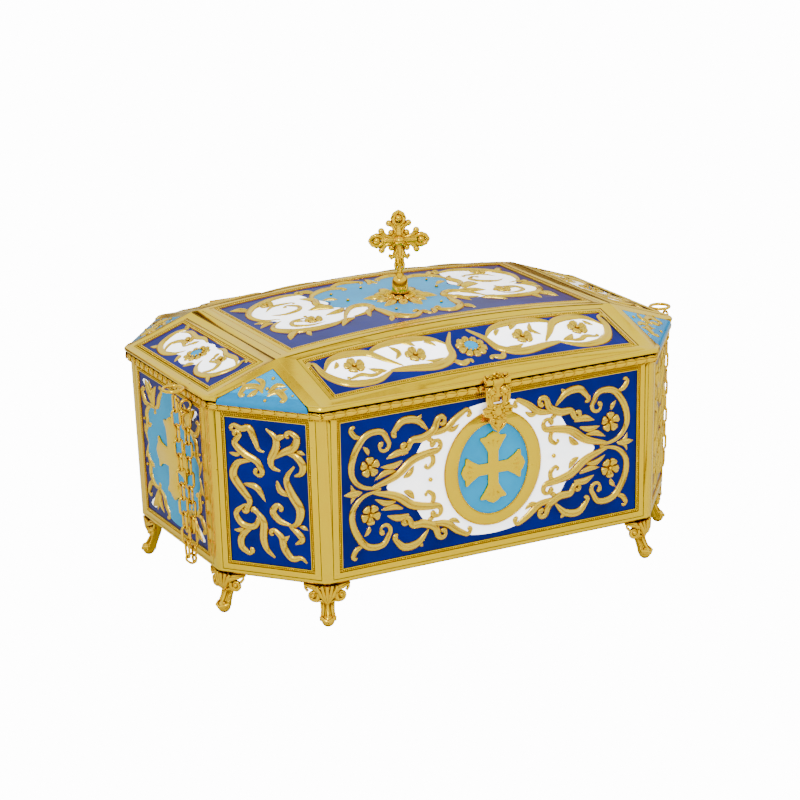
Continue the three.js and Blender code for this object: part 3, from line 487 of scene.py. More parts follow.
GILT_FRAME = gilt("gilt_copper_polished", "#FFE000", "#FFD400", 1500.0, 0.2, 0.68)
GILT_CAST = gilt("gilt_bronze_cast", "#FFDA00", "#FFCC00", 1900.0, 0.14, 0.74)
GILT_CHASED = gilt("gilt_copper_chased", "#FFE046", "#FFD42C", 1500.0, 0.22, 0.78)
GILT_INSIDE = gilt("gilt_copper_unpolished", "#E0B030", "#C08E1C", 700.0, 0.38, 0.72)
SEAM = gilt("solder_seam_tarnished", "#8A6410", "#5C4008", 700.0, 0.5, 0.5)
COBALT = enamel("vitreous_enamel_cobalt", "#00084C", "#00053F")
SKY = enamel("vitreous_enamel_light_blue", "#006C94", "#00658C")
DEEP_SKY = enamel("vitreous_enamel_mid_blue", "#00567C", "#004E74")
WHITE = enamel("vitreous_enamel_white", "#FBFCFF", "#F0F4FC")


def gold_piece(o, body, *nodes):
    """A finished gold piece rides on its body, and takes the place of these CAD nodes."""
    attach(o, body)
    if nodes:
        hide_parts(*nodes)


def enamel_piece(o, body, material):
    paint(o, material)
    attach(o, body)


def cast(o, angle):
    return smooth(paint(o, GILT_CAST), angle)


# ---------------------------------------------------------------- camera, floor and light
TENT_WHITE = 14.0  # strength of the white that is seen behind the casket
CAMERA_TURNS = (-27.38, 17.60, -1.36)  # round the casket from the front, above the table, and its roll
CAMERA_PLACE = (-0.58679, -1.13273, 0.46818)
CAMERA_SENSOR, CAMERA_LENS = 36, 124.41


def camera():
    azimuth, height, roll = (math.radians(a) for a in CAMERA_TURNS)
    back = Vector((math.sin(azimuth) * math.cos(height), -math.cos(azimuth) * math.cos(height), math.sin(height)))
    level = Vector((math.cos(azimuth), math.sin(azimuth), 0))
    raised = back.cross(level)
    right = level * math.cos(roll) + raised * math.sin(roll)
    up = raised * math.cos(roll) - level * math.sin(roll)
    data = bpy.data.cameras.new("camera")
    data.sensor_width, data.lens = CAMERA_SENSOR, CAMERA_LENS
    data.shift_x, data.shift_y = -0.0035, 0.0175
    data.clip_start, data.clip_end = 0.05, 20
    o = linked("camera", data)
    turn = Matrix((right, up, back)).transposed().to_4x4()
    o.matrix_world = Matrix.Translation(CAMERA_PLACE) @ turn
    bpy.context.scene.camera = o


def soft_light(name, at, power, size, mirrored_too=False):
    """A softbox; most are too soft to show as a mirror image in the metal."""
    data = bpy.data.lights.new(name, "AREA")
    data.energy, data.size = power, size
    o = linked(name, data)
    o.location = at
    o.rotation_euler = (Vector((0, 0, 0.08)) - Vector(at)).to_track_quat("-Z", "Y").to_euler()
    o.visible_glossy = mirrored_too


def seen_white(tree, surface, out):
    """Plain white to the eye; to light and to reflections the surface given."""
    eye = add_node(tree, "ShaderNodeLightPath").outputs["Is Camera Ray"]
    white = add_node(tree, "ShaderNodeEmission", Strength=TENT_WHITE, Color=grey(1))
    both = add_node(tree, "ShaderNodeMixShader", Fac=eye, i1=surface, i2=white.outputs[0])
    tree.links.new(both.outputs[0], out)


def studio():
    """A warm grey table in a light tent: white walls, darker and amber low down and in a band near the top."""
    bpy.ops.mesh.primitive_plane_add(size=8)
    floor = new_piece("floor")
    m, tree, _, shader = new_material("matt_white_paper")
    shader.inputs["Base Color"].default_value = linear("#8C8974")
    shader.inputs["Roughness"].default_value = 0.9
    out = next(n for n in tree.nodes if n.type == "OUTPUT_MATERIAL").inputs["Surface"]
    seen_white(tree, shader.outputs["BSDF"], out)
    paint(floor, m)
    world = bpy.data.worlds.new("studio")
    bpy.context.scene.world = world
    world.use_nodes = True
    tree = world.node_tree
    tree.nodes.clear()
    way = add_node(tree, "ShaderNodeTexCoord").outputs["Generated"]
    height = add_node(tree, "ShaderNodeSeparateXYZ", Vector=way).outputs["Z"]
    shade = ramp(tree, height, (0.06, (0.1, 0.04, 0.008, 1)), (0.16, (0.6, 0.4, 0.18, 1)), (0.24, grey(1)),
                 (0.8, grey(1)), (0.86, (0.3, 0.18, 0.06, 1)), (0.92, grey(1)))
    tent = add_node(tree, "ShaderNodeBackground", Color=shade, Strength=1.25)
    out = add_node(tree, "ShaderNodeOutputWorld").inputs["Surface"]
    seen_white(tree, tent.outputs[0], out)
    soft_light("front", (-0.3, -1.5, 0.5), 55, 1.0)
    soft_light("left", (-1.5, -0.3, 0.6), 40, 1.0)
    soft_light("overhead", (0.1, -0.2, 1.5), 40, 1.0)
    soft_light("right", (1.4, -0.6, 0.5), 25, 0.8)
    soft_light("sparkle", (-0.9, -1.0, 1.3), 9, 0.35, mirrored_too=True)


camera()
studio()


# ---------------------------------------------------------------- surfaces that flat pieces are set on
def wall_surface(i):
    """Wall i's face: u along it, v up from the middle of its field."""
    a, along, out, length = side(i)
    middle = a + along * (length / 2)
    up = Vector((out.x * LEAN, out.y * LEAN, 1)).normalized()
    u = along.to_3d()
    n = u.cross(up)
    origin = Vector((middle.x, middle.y, FOOT_HEIGHT)) + up * ((FIELD_BOTTOM + FIELD_TOP) / 2 - FOOT_HEIGHT)
    return lambda pu, pv, h: origin + u * pu + up * pv + n * h


RIM_X, RIM_Y = HALF_LENGTH + RIM_OUTSET, HALF_DEPTH + RIM_OUTSET
SLOPE_X = (CREASE_Z - RIM_Z) / (RIM_X - CREASE_X)
SLOPE_Y = (CREASE_Z - RIM_Z) / (RIM_Y - CREASE_Y)
CUT_OUT = side(3)[2]
CUT_REACH = CUT_OUT.dot(Vector(CORNERS[3])) + RIM_OUTSET
CUT_SLOPE = (CREASE_Z - RIM_Z) / (CUT_REACH - CUT_OUT.x * CREASE_X - CUT_OUT.y * CREASE_Y)
# Past the end of a cut corner's slope the rim rolls over: how far out and how far down, twice.
SHOULDER_REACH, SHOULDER_DROP, EDGE_REACH, EDGE_DROP = 1.4, 0.75, 0.5, 1.25


def arch(x):
    return CROWN * max(0, 1 - (x / CREASE_X) ** 2)


def arch_share(y):
    """How much of the arch there is at depth y: all at the crest, none at the rim."""
    share = min(1, max(0, (RIM_Y - abs(y)) / (RIM_Y - CREASE_Y)))
    return min(20 * share, 0.45 + 0.55 * share)


def lid_height(kind, x, y):
    if kind == "top":
        return CREASE_Z + arch(x)
    if kind == "long":
        return RIM_Z + SLOPE_Y * (RIM_Y - abs(y)) + arch(x) * arch_share(y)
    if kind == "end":
        return RIM_Z + SLOPE_X * (RIM_X - abs(x))
    past = CUT_OUT.x * abs(x) + CUT_OUT.y * abs(y) - CUT_REACH
    if past <= 0:
        return RIM_Z - CUT_SLOPE * past
    if past < SHOULDER_REACH:
        return RIM_Z - SHOULDER_DROP * past / SHOULDER_REACH
    return RIM_Z - SHOULDER_DROP - EDGE_DROP * (past - SHOULDER_REACH) / EDGE_REACH


# Facets of the lid: kind, turn about Z, how far out the field's middle is, half-sizes, border towards the rim.
FACETS = {
    "top": ("top", 0, 0, 77, 40.3, LID_BORDER),
    "front": ("long", 0, 69.4, 76.6, 13.9, RIM_BORDER),
    "back": ("long", 180, 69.4, 76.6, 13.9, RIM_BORDER),
    "right_end": ("end", 90, 107.05, 39.5, 10.85, RIM_BORDER),
    "left_end": ("end", -90, 107.05, 39.5, 10.85, RIM_BORDER),
}
ARCH_STATIONS = [8 * k for k in range(-10, 11)]


def lid_surface(name):
    kind, turn, out = FACETS[name][:3]
    c, s = round(math.cos(math.radians(turn))), round(math.sin(math.radians(turn)))

    def surface(u, v, h):
        x, y = c * u - s * (v - out), s * u + c * (v - out)
        return Vector((x, y, lid_height(kind, x, y) + h))
    return surface


# ---------------------------------------------------------------- a panel's frame, enamel and gilt work
PLATE = 1.2  # thickness of a frame's plate
OUTER_EASE, SLOPE_RISE = 0.25, 0.25
# The frame's section from its sloping border to the enamel: width and rise of each step.
STEPS_INSIDE = [(0.2, -0.4), (1.0, 0.0), (0.12, 0.38), (0.38, 0.0), (0.12, -0.85)]
BEAD_PITCH, BEAD_RADIUS, BEAD_HEIGHT = 1.05, 0.5, 0.12
BEAD_OUT = 1.12  # from the enamel's edge to the middle of the beads


def beaded_frame(name, half_u, half_v, border, low_border, high_border):
    """A rectangular frame, its sloping border, bead groove and lip made by insetting one plate."""
    inside = sum(w for w, _ in STEPS_INSIDE)
    bpy.ops.mesh.primitive_plane_add(size=2)
    o = new_piece(name)
    for v in o.data.vertices:
        v.co = (math.copysign(half_u + border, v.co.x), math.copysign(half_v + border, v.co.y), -PLATE)
    edit()
    bpy.ops.mesh.select_all(action="SELECT")
    bpy.ops.mesh.extrude_region_move(TRANSFORM_OT_translate={"value": (0, 0, PLATE)})
    bpy.ops.mesh.inset(thickness=OUTER_EASE, depth=0.15)
    bpy.ops.mesh.inset(thickness=border - inside - OUTER_EASE, depth=SLOPE_RISE)
    for width, rise in STEPS_INSIDE:
        bpy.ops.mesh.inset(thickness=width, depth=rise)
    edit(False)
    for v in o.data.vertices:  # the borders at the top and the foot can be narrower
        if v.co.y > half_v + inside + 0.01:
            v.co.y -= border - high_border
        if v.co.y < -half_v - inside - 0.01:
            v.co.y += border - low_border
    return face_outward(o)


def bead_row(half_u, half_v):
    """Places of the beads in a frame's groove."""
    a, b = half_u + BEAD_OUT, half_v + BEAD_OUT
    spots = []
    for t in spread(2 * a, BEAD_PITCH):
        spots += [(t, s, BEAD_HEIGHT, BEAD_RADIUS) for s in (-b, b)]
    for t in spread(2 * b, BEAD_PITCH):
        spots += [(s, t, BEAD_HEIGHT, BEAD_RADIUS) for s in (-a, a)]
    return spots


def panel(name, surface, body, node, half_u, half_v, borders, ornament, arched):
    """One enamelled panel: gilt frame with beads, cobalt ground, further enamels, and gilt scrolls."""
    stations = ARCH_STATIONS if arched else []
    frame_piece = beaded_frame(name + "_frame", half_u, half_v, *borders)
    slice_across(frame_piece, stations)
    smooth(paint(set_in_place(frame_piece, surface), GILT_FRAME), 20)
    beads = paint(set_in_place(domes(name + "_beads", bead_row(half_u, half_v)), surface), GILT_CAST)
    gold_piece(joined(name + "_frame", [frame_piece, beads]), body, node)

    field = [(-half_u, -half_v), (half_u, -half_v), (half_u, half_v), (-half_u, half_v)]
    grounds = [("cobalt", COBALT, [field], -0.5, -0.22)]
    grounds += [(f"{material.name.split('_')[-1]}_{k}", material, outlines, -0.4, top)
                for k, (material, outlines, top) in enumerate(ornament["grounds"])]
    for label, material, outlines, low, high in grounds:
        tile = joined(f"{name}_{label}", [filled("tile", [outline], low, high) for outline in outlines])
        slice_across(tile, stations)
        enamel_piece(set_in_place(tile, surface), body, material)

    work = strokes(name + "_scrolls", ornament["scrolls"], -0.3)
    pieces = [smooth(paint(set_in_place(work, surface), GILT_CHASED), 55)]
    pieces += [smooth(paint(set_in_place(plate, surface), GILT_FRAME), 30) for plate in ornament.get("plates", [])]
    if ornament["dots"]:
        pieces.append(paint(set_in_place(domes(name + "_dots", ornament["dots"]), surface), GILT_CAST))
    gold_piece(joined(name + "_scrolls", pieces), body)


def flared_cross(name, reach_u, reach_v, neck, flare, height):
    """A flat cross whose arms flare to three points, its edge bevelled."""
    outline = []
    for quarter, reach in enumerate((reach_u, reach_v, reach_u, reach_v * 0.96)):
        arm = [(neck, -neck), (reach * 0.45, -neck * 1.02), (reach * 0.66, -flare * 0.72), (reach * 0.8, -flare),
               (reach * 0.86, -flare * 0.98), (reach * 0.87, -flare * 0.55), (reach * 0.93, -flare * 0.4),
               (reach, 0)]
        outline += spun(arm + [(a, -b) for a, b in arm[-2::-1]], 90 * quarter)
    return bevelled(filled(name, [outline], -0.5, height), 0.55, 3)


# ---------------------------------------------------------------- ornament of the walls
def front_ornament():
    quarter = [
        scroll([(57.5, 0.2), (67, 2.6), (72, 9), (70.8, 18), (65, 26.2), (57, 27), (53.2, 21.5)], 3.0, 0, 3.0),
        scroll([(66.5, 25.5), (70, 26.8), (72, 29.5)], 2.4, 0, 1.3, turn=200),
        scroll([(62, 1.0), (50, 4.8), (42, 10.5), (34.5, 12.6), (29, 13.2)], 3.6, 0, -2.9, full=0.8),
        scroll([(36, 12.3), (31.5, 11.5), (30.8, 8), (33, 5.8)], 2.2, 0, 1.2, turn=220),
        scroll([(43.5, 17), (41.5, 20.3), (36, 20.6), (30.4, 23.4), (28.4, 28)], 3.4, 1.7, 2.2),
        scroll([(33.5, 24), (39, 29.4), (46, 30.2), (50.5, 26)], 3.4, 0, -1.6, turn=160),
        scroll([(39, 29), (36.5, 31.6)], 2.0),
        scroll([(32, 21.5), (24.5, 22.8), (19, 27), (14, 30)], 3.0, -1.4, 1.8, turn=240),
        scroll([(25, 23.5), (20.8, 21.8), (17.2, 23.8)], 2.2),
        leaf((43.5, 14.8), (54.5, 13.6), 3.0), leaf((46.5, 11.4), (57.5, 10.2), 2.6, -0.1),
        leaf((50, 7.2), (60.5, 4.6), 2.6), leaf((46, 3.2), (40.5, 8.2), 2.6),
        leaf((63.5, 17), (66.2, 21.4), 2.0), leaf((69, 0.6), (72.5, 4.4), 1.8, -0.2),
        *flower(63, 11.4, 4.9),
    ]
    lozenge = four_sided([(54.5, 0), (46.5, 6), (40, 12.6), (36, 18.6), (30, 22.6), (22, 25), (17, 28.6), (11, 31),
                          (0, 32)])
    dots = mirrored_dots([(32.4, 0, 0.1, 1.3)]) + mirrored_dots([(63, 11.4, 0.5, 1.1)], in_v=True)
    for half_u, half_v in ((25.2, 27.4), (18.6, 22.3)):  # a rope along each edge of the band, a bead every mm
        dots += [(u, v, 0.3, 0.5) for u, v in oval(half_u, half_v, round(math.pi * (half_u + half_v)))]
    engraved = [spun([(10.6 + abs(b) * 0.3, b * 0.7, 0.2), (13.4 - abs(b) * 0.25, b, 0.42)], 90 * arm)
                for arm in range(4) for b in (-2.6, 0, 2.6)]
    return {
        "grounds": [(WHITE, [lozenge], -0.12), (SKY, [oval(19, 22.6)], -0.05)],
        "scrolls": mirrored(quarter, in_v=True) + mirrored([leaf((67, 0), (76, 0), 3.0, 0)]),
        "plates": [flared_cross("front_cross", 16.8, 17.8, 2.7, 6.8, 0.75),
                   strokes("front_cross_ridges", engraved, 0.7),
                   bevelled(filled("front_band", [oval(25, 27.2), oval(18.7, 22.4)], -0.5, 0.55), 0.4, 2)],
        "dots": dots,
    }


def corner_ornament(turned):
    lines = [
        scroll([(-15, 30.8), (-11.6, 29.4), (-8, 30.2), (-5.6, 25), (-4, 20.6), (-1.2, 19.3)], 3.0, 1.5, turn=220),
        scroll([(-13.2, 25.8), (-15.6, 22.3), (-11, 17.8), (-5, 14.6), (-2.6, 10.4)], 3.2, 1.5, -2.0),
        leaf((-12.4, 17.8), (-18.6, 17.4), 2.0),
        scroll([(-7, 15), (-14.5, 13), (-17, 7), (-13, 0.5), (-9.5, -4.5), (-11, -9)], 3.6, 0, -1.3, turn=150),
        leaf((-12, 3.2), (-1.6, -4.4), 2.8, 0.22),
        scroll([(-12.5, -7.2), (-16.6, -11), (-14, -16), (-8, -16.8), (-5.2, -12.5), (-6.4, -8.8)], 2.8, -1.2, 1.2,
               turn=200),
        scroll([(-8, -16.6), (-14, -21.8), (-14.6, -27), (-11.4, -29.8)], 3.0, 0, 1.5, turn=230),
        leaf((-13, -18.2), (-18.2, -19.6), 2.0),
        scroll([(-6.6, -9.2), (-3, -14), (-3.4, -22), (-2, -27), (1.8, -30.8)], 3.4, 1.2, turn=160),
        scroll([(0.2, 30.4), (4.6, 27), (4.8, 22), (2.0, 16.2), (2.8, 12.6), (6.4, 11.2)], 3.4),
        leaf((4.8, 25), (9.8, 28.2), 2.6),
        scroll([(2.6, 16.4), (8, 20), (13.5, 23), (15.2, 27.6), (12.4, 29.8)], 3.4, 0, 1.5, turn=220),
        scroll([(9, 20.2), (14.5, 19), (17.8, 14.8), (16.6, 11), (13.4, 9.6)], 3.4),
        leaf((14.5, 20.8), (19, 20.2), 2.0),
        scroll([(13.4, 14.2), (9.3, 8), (11.5, 1), (15.5, -6), (14, -12.5), (10, -15)], 4.0, full=1.3),
        leaf((4.4, 6.4), (11.4, -0.6), 2.8, -0.2),
        scroll([(11.2, -14.4), (5, -12.6), (1.8, -8.6), (3.6, -5.6)], 3.0, 0, -1.6, turn=240),
        scroll([(9.6, -14.8), (14, -17.6), (15.8, -20.6), (12.4, -23)], 3.0),
        leaf((14.6, -14.4), (18.8, -15.6), 2.0),
        scroll([(2.6, -17.6), (5.6, -20.6), (7, -26), (10.5, -30.2), (15, -29.4), (17.6, -31.6)], 3.2, 1.4, turn=240),
        leaf((6.6, -23.4), (9.4, -19.4), 2.0),
    ]
    sign = -1 if turned else 1
    return {"grounds": [], "scrolls": [[(sign * u, v, w) for u, v, w in line] for line in lines], "dots": []}


def end_ornament():
    quarter = [
        scroll([(29.6, 0), (31.4, 5), (28.6, 10), (28.8, 15.5), (24.5, 19.8), (19.4, 20.2)], 2.4, 0, 1.4, turn=220),
        scroll([(20.6, 19.6), (14.5, 22.2), (12.4, 26.5), (9.4, 30)], 2.4, 0, -1.5, turn=230),
        leaf((20.4, 20.6), (29.6, 32), 3.6), leaf((19.4, 21), (16.4, 31.6), 3.0, -0.16),
        scroll([(24, 20.4), (29.4, 20), (33, 24.6)], 2.4, 0, 1.6, turn=220),
        leaf((29.6, 9.8), (23.8, 11), 2.2), leaf((22.8, 24), (24.4, 32.6), 2.0), leaf((31.5, 3), (33.8, 8.6), 2.0),
    ]
    cartouche = four_sided([(30.2, 0), (31, 6), (28.8, 12), (27.6, 17.6), (21, 20.4), (14.4, 22.4), (11.4, 28),
                            (8, 31.6), (0, 32.6)])
    touches = mirrored([[(22, 25), (26.5, 26.5), (31.5, 31), (25.5, 31.4)]], in_v=True)
    return {
        "grounds": [(SKY, [cartouche], -0.08), (WHITE, [flow(touch, 1, closed=True) for touch in touches], -0.14)],
        "scrolls": mirrored(quarter, in_v=True),
        "plates": [flared_cross("end_cross", 18.6, 21, 4.6, 7.6, 0.85)],
        "dots": mirrored_dots([(32.4, 11.5, -0.1, 0.9)], in_v=True),
    }


def walls():
    for i, name in enumerate(WALL_NAMES):
        if i % 2:
            ornament, margin = corner_ornament(i in (1, 5)), 7.2
        elif i % 4:
            ornament, margin = end_ornament(), 9.8
        else:
            ornament, margin = front_ornament(), 8.2
        panel(f"panel_{name}_finished", wall_surface(i), "box", "panel_" + name, side(i)[3] / 2 - margin,
              (FIELD_TOP - FIELD_BOTTOM) / 2, (WALL_BORDER, WALL_BORDER, WALL_TOP_BORDER), ornament, False)


# ---------------------------------------------------------------- ornament of the lid
def lid_top_ornament():
    petals = [leaf(*spun([(6, 0), (18 if k % 2 else 14, 0)], 30 * k + 8), 4.0, 0.05) for k in range(12)]
    half = [
        # the outer edge of the white field: a bowed scroll in front, one behind, meeting in a cusp
        scroll([(63, 0.6), (68.6, -3.4), (70.8, -10), (64.6, -19), (54, -22.4), (43, -20.8), (36, -15)], 3.2),
        scroll([(62, 3.4), (69, 7), (71.4, 17), (66.4, 26.6), (56, 32.8), (46, 34.6), (38, 32.4)], 3.0, 0, -1.8),
        scroll([(38.6, -17.4), (30, -5), (22.6, -3.4), (19.8, -9), (26, -15.2), (34, -16.8)], 3.0),
        scroll([(47, -15), (55, -15.6), (61.4, -11), (59.4, -4.6), (52, -3.6)], 2.0, 0, -1.4, turn=200),
        scroll([(63, 11.6), (57, 8), (49.6, 9.6), (46.6, 15), (50, 19.6)], 2.2, 0, -1.6, turn=220),
        scroll([(62.6, 18), (56.6, 23.4), (47, 23)], 1.8, 0, 1.2, turn=200),
        scroll([(34, 4.6), (38.6, 10.6), (37, 18.6), (41, 26)], 3.4),
        leaf((35, 0.6), (46.4, 6.2), 4.4, 0.16), leaf((31, -1), (43.6, -6.6), 3.4, -0.16),
        leaf((64, -19.6), (71.4, -27.6), 3.2), leaf((58.6, -22), (61.4, -29), 2.2),
        leaf((34, -18.6), (44, -26.6), 3.0), leaf((68, 25), (74.6, 33), 3.0),
        leaf((67, 0.6), (74.6, -1.8), 2.4), leaf((67, 4), (74.2, 6.4), 2.0, -0.1),
        # the light blue field: scrolls at the front, leaves behind
        scroll([(20.6, -7.6), (18.8, -17), (17.4, -27.6), (10.8, -33.6), (4.6, -29.4)], 3.4, 0, -1.8, turn=240),
        leaf((20, -10), (27, -21.6), 2.8), leaf((2.6, -26), (0.2, -34), 2.4), leaf((17, -28), (22.4, -34.4), 2.4),
        scroll([(37.6, 19.6), (33, 27.6), (24, 31.6), (16.6, 29)], 2.8, 0, 1.6, turn=220),
        scroll([(22, 33), (13.6, 37), (5, 34.6)], 2.6, 0, 1.4, turn=200),
        leaf((31, 29), (38, 37), 2.6), leaf((2.6, 28), (0.2, 38), 2.4), leaf((27, 13), (33.6, 17), 2.2),
        *flower(50.6, -9.4, 4.4), *flower(58, 28, 4.0), leaf((54.6, -8), (60.4, -5.6), 2.0),
    ]
    white = flow([(31, -1), (27, -4.4), (21.6, -7), (25.6, -14), (34, -17.4), (37.6, -17.6), (43, -20.8), (54, -22.2),
                  (64.4, -19), (70.4, -10), (68, -3), (64.6, 1.8), (69.4, 8), (71, 17), (66, 26.4), (56, 32.6),
                  (45.6, 34.4), (38.6, 31.6), (36.6, 22), (33, 12), (36, 5.4)], 1.4, closed=True)
    blue = two_sided([(0, -28), (5.6, -30.4), (11, -33.4), (16.6, -29), (18, -19), (20.6, -9.6), (29, -2),
                      (35.4, 4.6), (31.6, 11.6), (37.4, 20), (31, 29.4), (20.6, 31.6), (12.6, 36.6), (0, 34.6)])
    dots = [(50.6, -9.4, 0.3, 1.1), (58, 28, 0.3, 1.0), (24, 8, 0.3, 0.9), (12, -19, 0.3, 0.8), (26, 22, 0.3, 0.8),
            (9, 24, 0.3, 0.8)]
    return {"grounds": [(SKY, [blue], -0.14), (WHITE, mirrored([white]), -0.06)],
            "scrolls": petals + mirrored(half), "dots": mirrored_dots(dots)}


def daisy(v, radius):
    """Ten petals at the middle of a facet, each without its inmost point."""
    return [line[1:] for line in flower(0, v, radius, 10)]


def daisy_beads(v, radius):
    return [(a, v + b, 0.75, 0.7) for a, b in oval(radius, radius, 12)]


def lid_slope_ornament():
    half = [
        scroll([(-74.6, 10.4), (-73.6, 1), (-66.8, -8.2), (-54, -10.4), (-43.6, -5.6)], 3.6, 1.7, turn=240),
        scroll([(-44.5, -5.4), (-36, -6.8), (-22, -9), (-12.4, -4.4), (-9.4, 4.6), (-4.4, 12.6)], 3.8, full=0.8),
        scroll([(-73, 4), (-66.8, 10.8), (-58, 11.8), (-49, 9.4), (-43, 2.4), (-37.2, -4)], 3.4),
        scroll([(-50.6, 8), (-42, 12.2), (-30, 13), (-17, 10.8), (-9.8, 4.4)], 3.2),
        scroll([(-13.6, -6.2), (-10.4, -10.4), (-6.6, -9.2)], 2.6, 0, -1.2, turn=160),
        scroll([(-47, -4.8), (-54, -6.2), (-58.6, -4), (-63.6, -5)], 2.2, 0, -1.2, turn=160),
        scroll([(-15, -4.4), (-21.4, -5.2), (-25.6, -3.4)], 2.0), scroll([(-37, 11), (-34.6, 5.4), (-38, 1.4)], 2.2),
        leaf((-62, -8.4), (-69.6, -3.4), 2.4), leaf((-46, -5), (-53.6, -0.6), 2.6),
        leaf((-31, 12), (-24.6, 7.4), 2.4), leaf((-20, 9.4), (-15.4, 4.6), 2.0), leaf((-64.6, 9), (-68, 4), 2.0),
        *flower(-58.4, 3, 5.0), *flower(-28, 1.6, 5.0),
    ]
    lobes = [[(-73, 1), (-66.5, -8.4), (-54, -10.2), (-43.5, -5.4), (-37.4, -4.2), (-43, 2.6), (-49, 9.4),
              (-58, 11.4), (-66.6, 10.4), (-72.4, 4.6)],
             [(-36.4, -6.4), (-22, -8.6), (-12.4, -4), (-9.8, 4.4), (-17, 10.4), (-30, 12.8), (-42, 11.8),
              (-48, 8.6), (-42.4, 2.4)]]
    outlines = mirrored([flow(lobe, 1.4, closed=True) for lobe in lobes])
    return {"grounds": [(WHITE, outlines, -0.08), (SKY, [oval(3.2, 3.2, 16)], 0.75)],
            "scrolls": mirrored(half) + daisy(0, 7.4),
            "dots": mirrored_dots([(58.4, 3, 0.5, 1.05), (28, 1.6, 0.5, 1.05)]) + daisy_beads(0, 3.7)}


def lid_end_ornament():
    half = [
        scroll([(-31.6, 9.2), (-33.4, 3), (-29, -5.4), (-20, -8.2), (-12.6, -5.4), (-9.4, -1)], 2.8, 1.4, turn=230),
        scroll([(-32, 6), (-25.6, 8.8), (-17, 8), (-11, 9.6), (-5.4, 8.4)], 2.4),
        scroll([(-20, -7.8), (-24.6, -2.6), (-21, 2.4), (-15.4, 0.8)], 2.2, 0, 1.6, turn=200),
        leaf((-11.6, 7), (-14.4, 2.6), 2.0), leaf((-28, -4.8), (-33.4, -9), 2.0), leaf((-8.4, -4.6), (-4.6, -9), 2.2),
        *flower(-18.6, 4.2, 3.2),
    ]
    cartouche = two_sided([(0, -8), (-4.4, -7), (-10, -4.6), (-14, -7.4), (-21, -8.4), (-29, -5.6), (-32.6, 3),
                           (-31, 8), (-24, 9.2), (-17, 8), (-10, 9.6), (-4, 8.6), (0, 9.6)], 1.3)
    return {"grounds": [(WHITE, [cartouche], -0.08), (SKY, [oval(2.8, 2.8, 16)], 0.75)],
            "scrolls": mirrored(half) + daisy(0.5, 6.4),
            "dots": mirrored_dots([(18.6, 4.2, 0.4, 0.8)]) + daisy_beads(0.5, 3.3)}


def lid_panels():
    for name, (kind, _, _, half_u, half_v, low_border) in FACETS.items():
        ornament = {"top": lid_top_ornament, "long": lid_slope_ornament, "end": lid_end_ornament}[kind]()
        panel(f"lid_panel_{name}_finished", lid_surface(name), "lid", "lid_panel_" + name, half_u, half_v,
              (LID_BORDER, low_border, LID_BORDER), ornament, kind != "end")


CORNER_SIGNS = {"back_right": (1, 1), "back_left": (-1, 1), "front_left": (-1, -1), "front_right": (1, -1)}
SHEET_TIP, SHEET_X, SHEET_Y = (92.2, 52.1), 91.7, 51.5  # where a corner's sheet starts, and its two straight sides
SHEET_THICKNESS, DARK_EDGE = 1.1, 3.2
FLOURISH_MIDDLE = (101, 63)


def corner_panels():
    """The light blue panels over the cut corners run on over the rim and down its edge, there a darker blue,
    each with a gilt flourish."""
    edge = CUT_REACH + SHOULDER_REACH + EDGE_REACH
    plan = [SHEET_TIP, ((edge - CUT_OUT.y * SHEET_Y) / CUT_OUT.x, SHEET_Y),
            (SHEET_X, (edge - CUT_OUT.x * SHEET_X) / CUT_OUT.y)]
    drawn = [scroll([(-1, -1), (-5, 2.4), (-10.6, 1.4), (-11.6, -2.4)], 2.6, 0, 1.2, turn=220),
             scroll([(-2, 0.4), (-4, 5.4), (-8.4, 7)], 2.2), leaf((-4.4, 1), (-7.6, -4), 2.4),
             leaf((-9, 1.6), (-13.6, 4.4), 1.8),
             scroll([(1.6, -2.4), (5.6, 0.6), (10.6, -2.6)], 2.6, 0, -1.2, turn=220),
             scroll([(1.2, -0.6), (3.4, 4), (7.6, 4.6)], 2.2), leaf((6.6, 0), (9.4, 3.2), 1.6)]
    dots = [(0, 8, 0.1, 1.0), (2, -5.4, 0.1, 0.9), (0, 1.6, 0.1, 1.0), (-15, 0.4, 0.1, 0.7), (13.6, -1, 0.1, 0.7)]

    def surface(x, y, h):
        return Vector((x, y, lid_height("corner", x, y) + h))

    for name, (sx, sy) in CORNER_SIGNS.items():
        def in_corner(points):
            placed = [(FLOURISH_MIDDLE[0] - CUT_OUT.y * u - CUT_OUT.x * v,
                       FLOURISH_MIDDLE[1] + CUT_OUT.x * u - CUT_OUT.y * v, *rest) for u, v, *rest in points]
            return [(sx * x, sy * y, *rest) for x, y, *rest in placed]

        sheet = filled(f"lid_panel_{name}_finished", [[(sx * x, sy * y) for x, y in plan]], -SHEET_THICKNESS, 0)
        slice_across(sheet, [CUT_REACH + past for past in (-DARK_EDGE, 0, SHOULDER_REACH)],
                     (sx * CUT_OUT.x, sy * CUT_OUT.y, 0))
        smooth(set_in_place(sheet, surface), 50)
        enamel_piece(sheet, "lid", SKY)
        sheet.data.materials.append(DEEP_SKY)
        for f in sheet.data.polygons:
            x, y = abs(f.center.x) / MM, abs(f.center.y) / MM
            f.material_index = int(CUT_OUT.x * x + CUT_OUT.y * y > CUT_REACH - DARK_EDGE)
        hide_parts("lid_panel_" + name)
        flourish = set_in_place(strokes("flourish", [in_corner(line) for line in drawn], -0.1), surface)
        specks = paint(set_in_place(domes("flourish_dots", in_corner(dots)), surface), GILT_CAST)
        gold_piece(joined(f"lid_flourish_{name}", [smooth(paint(flourish, GILT_CHASED), 55), specks]), "lid")


walls()
lid_panels()
corner_panels()


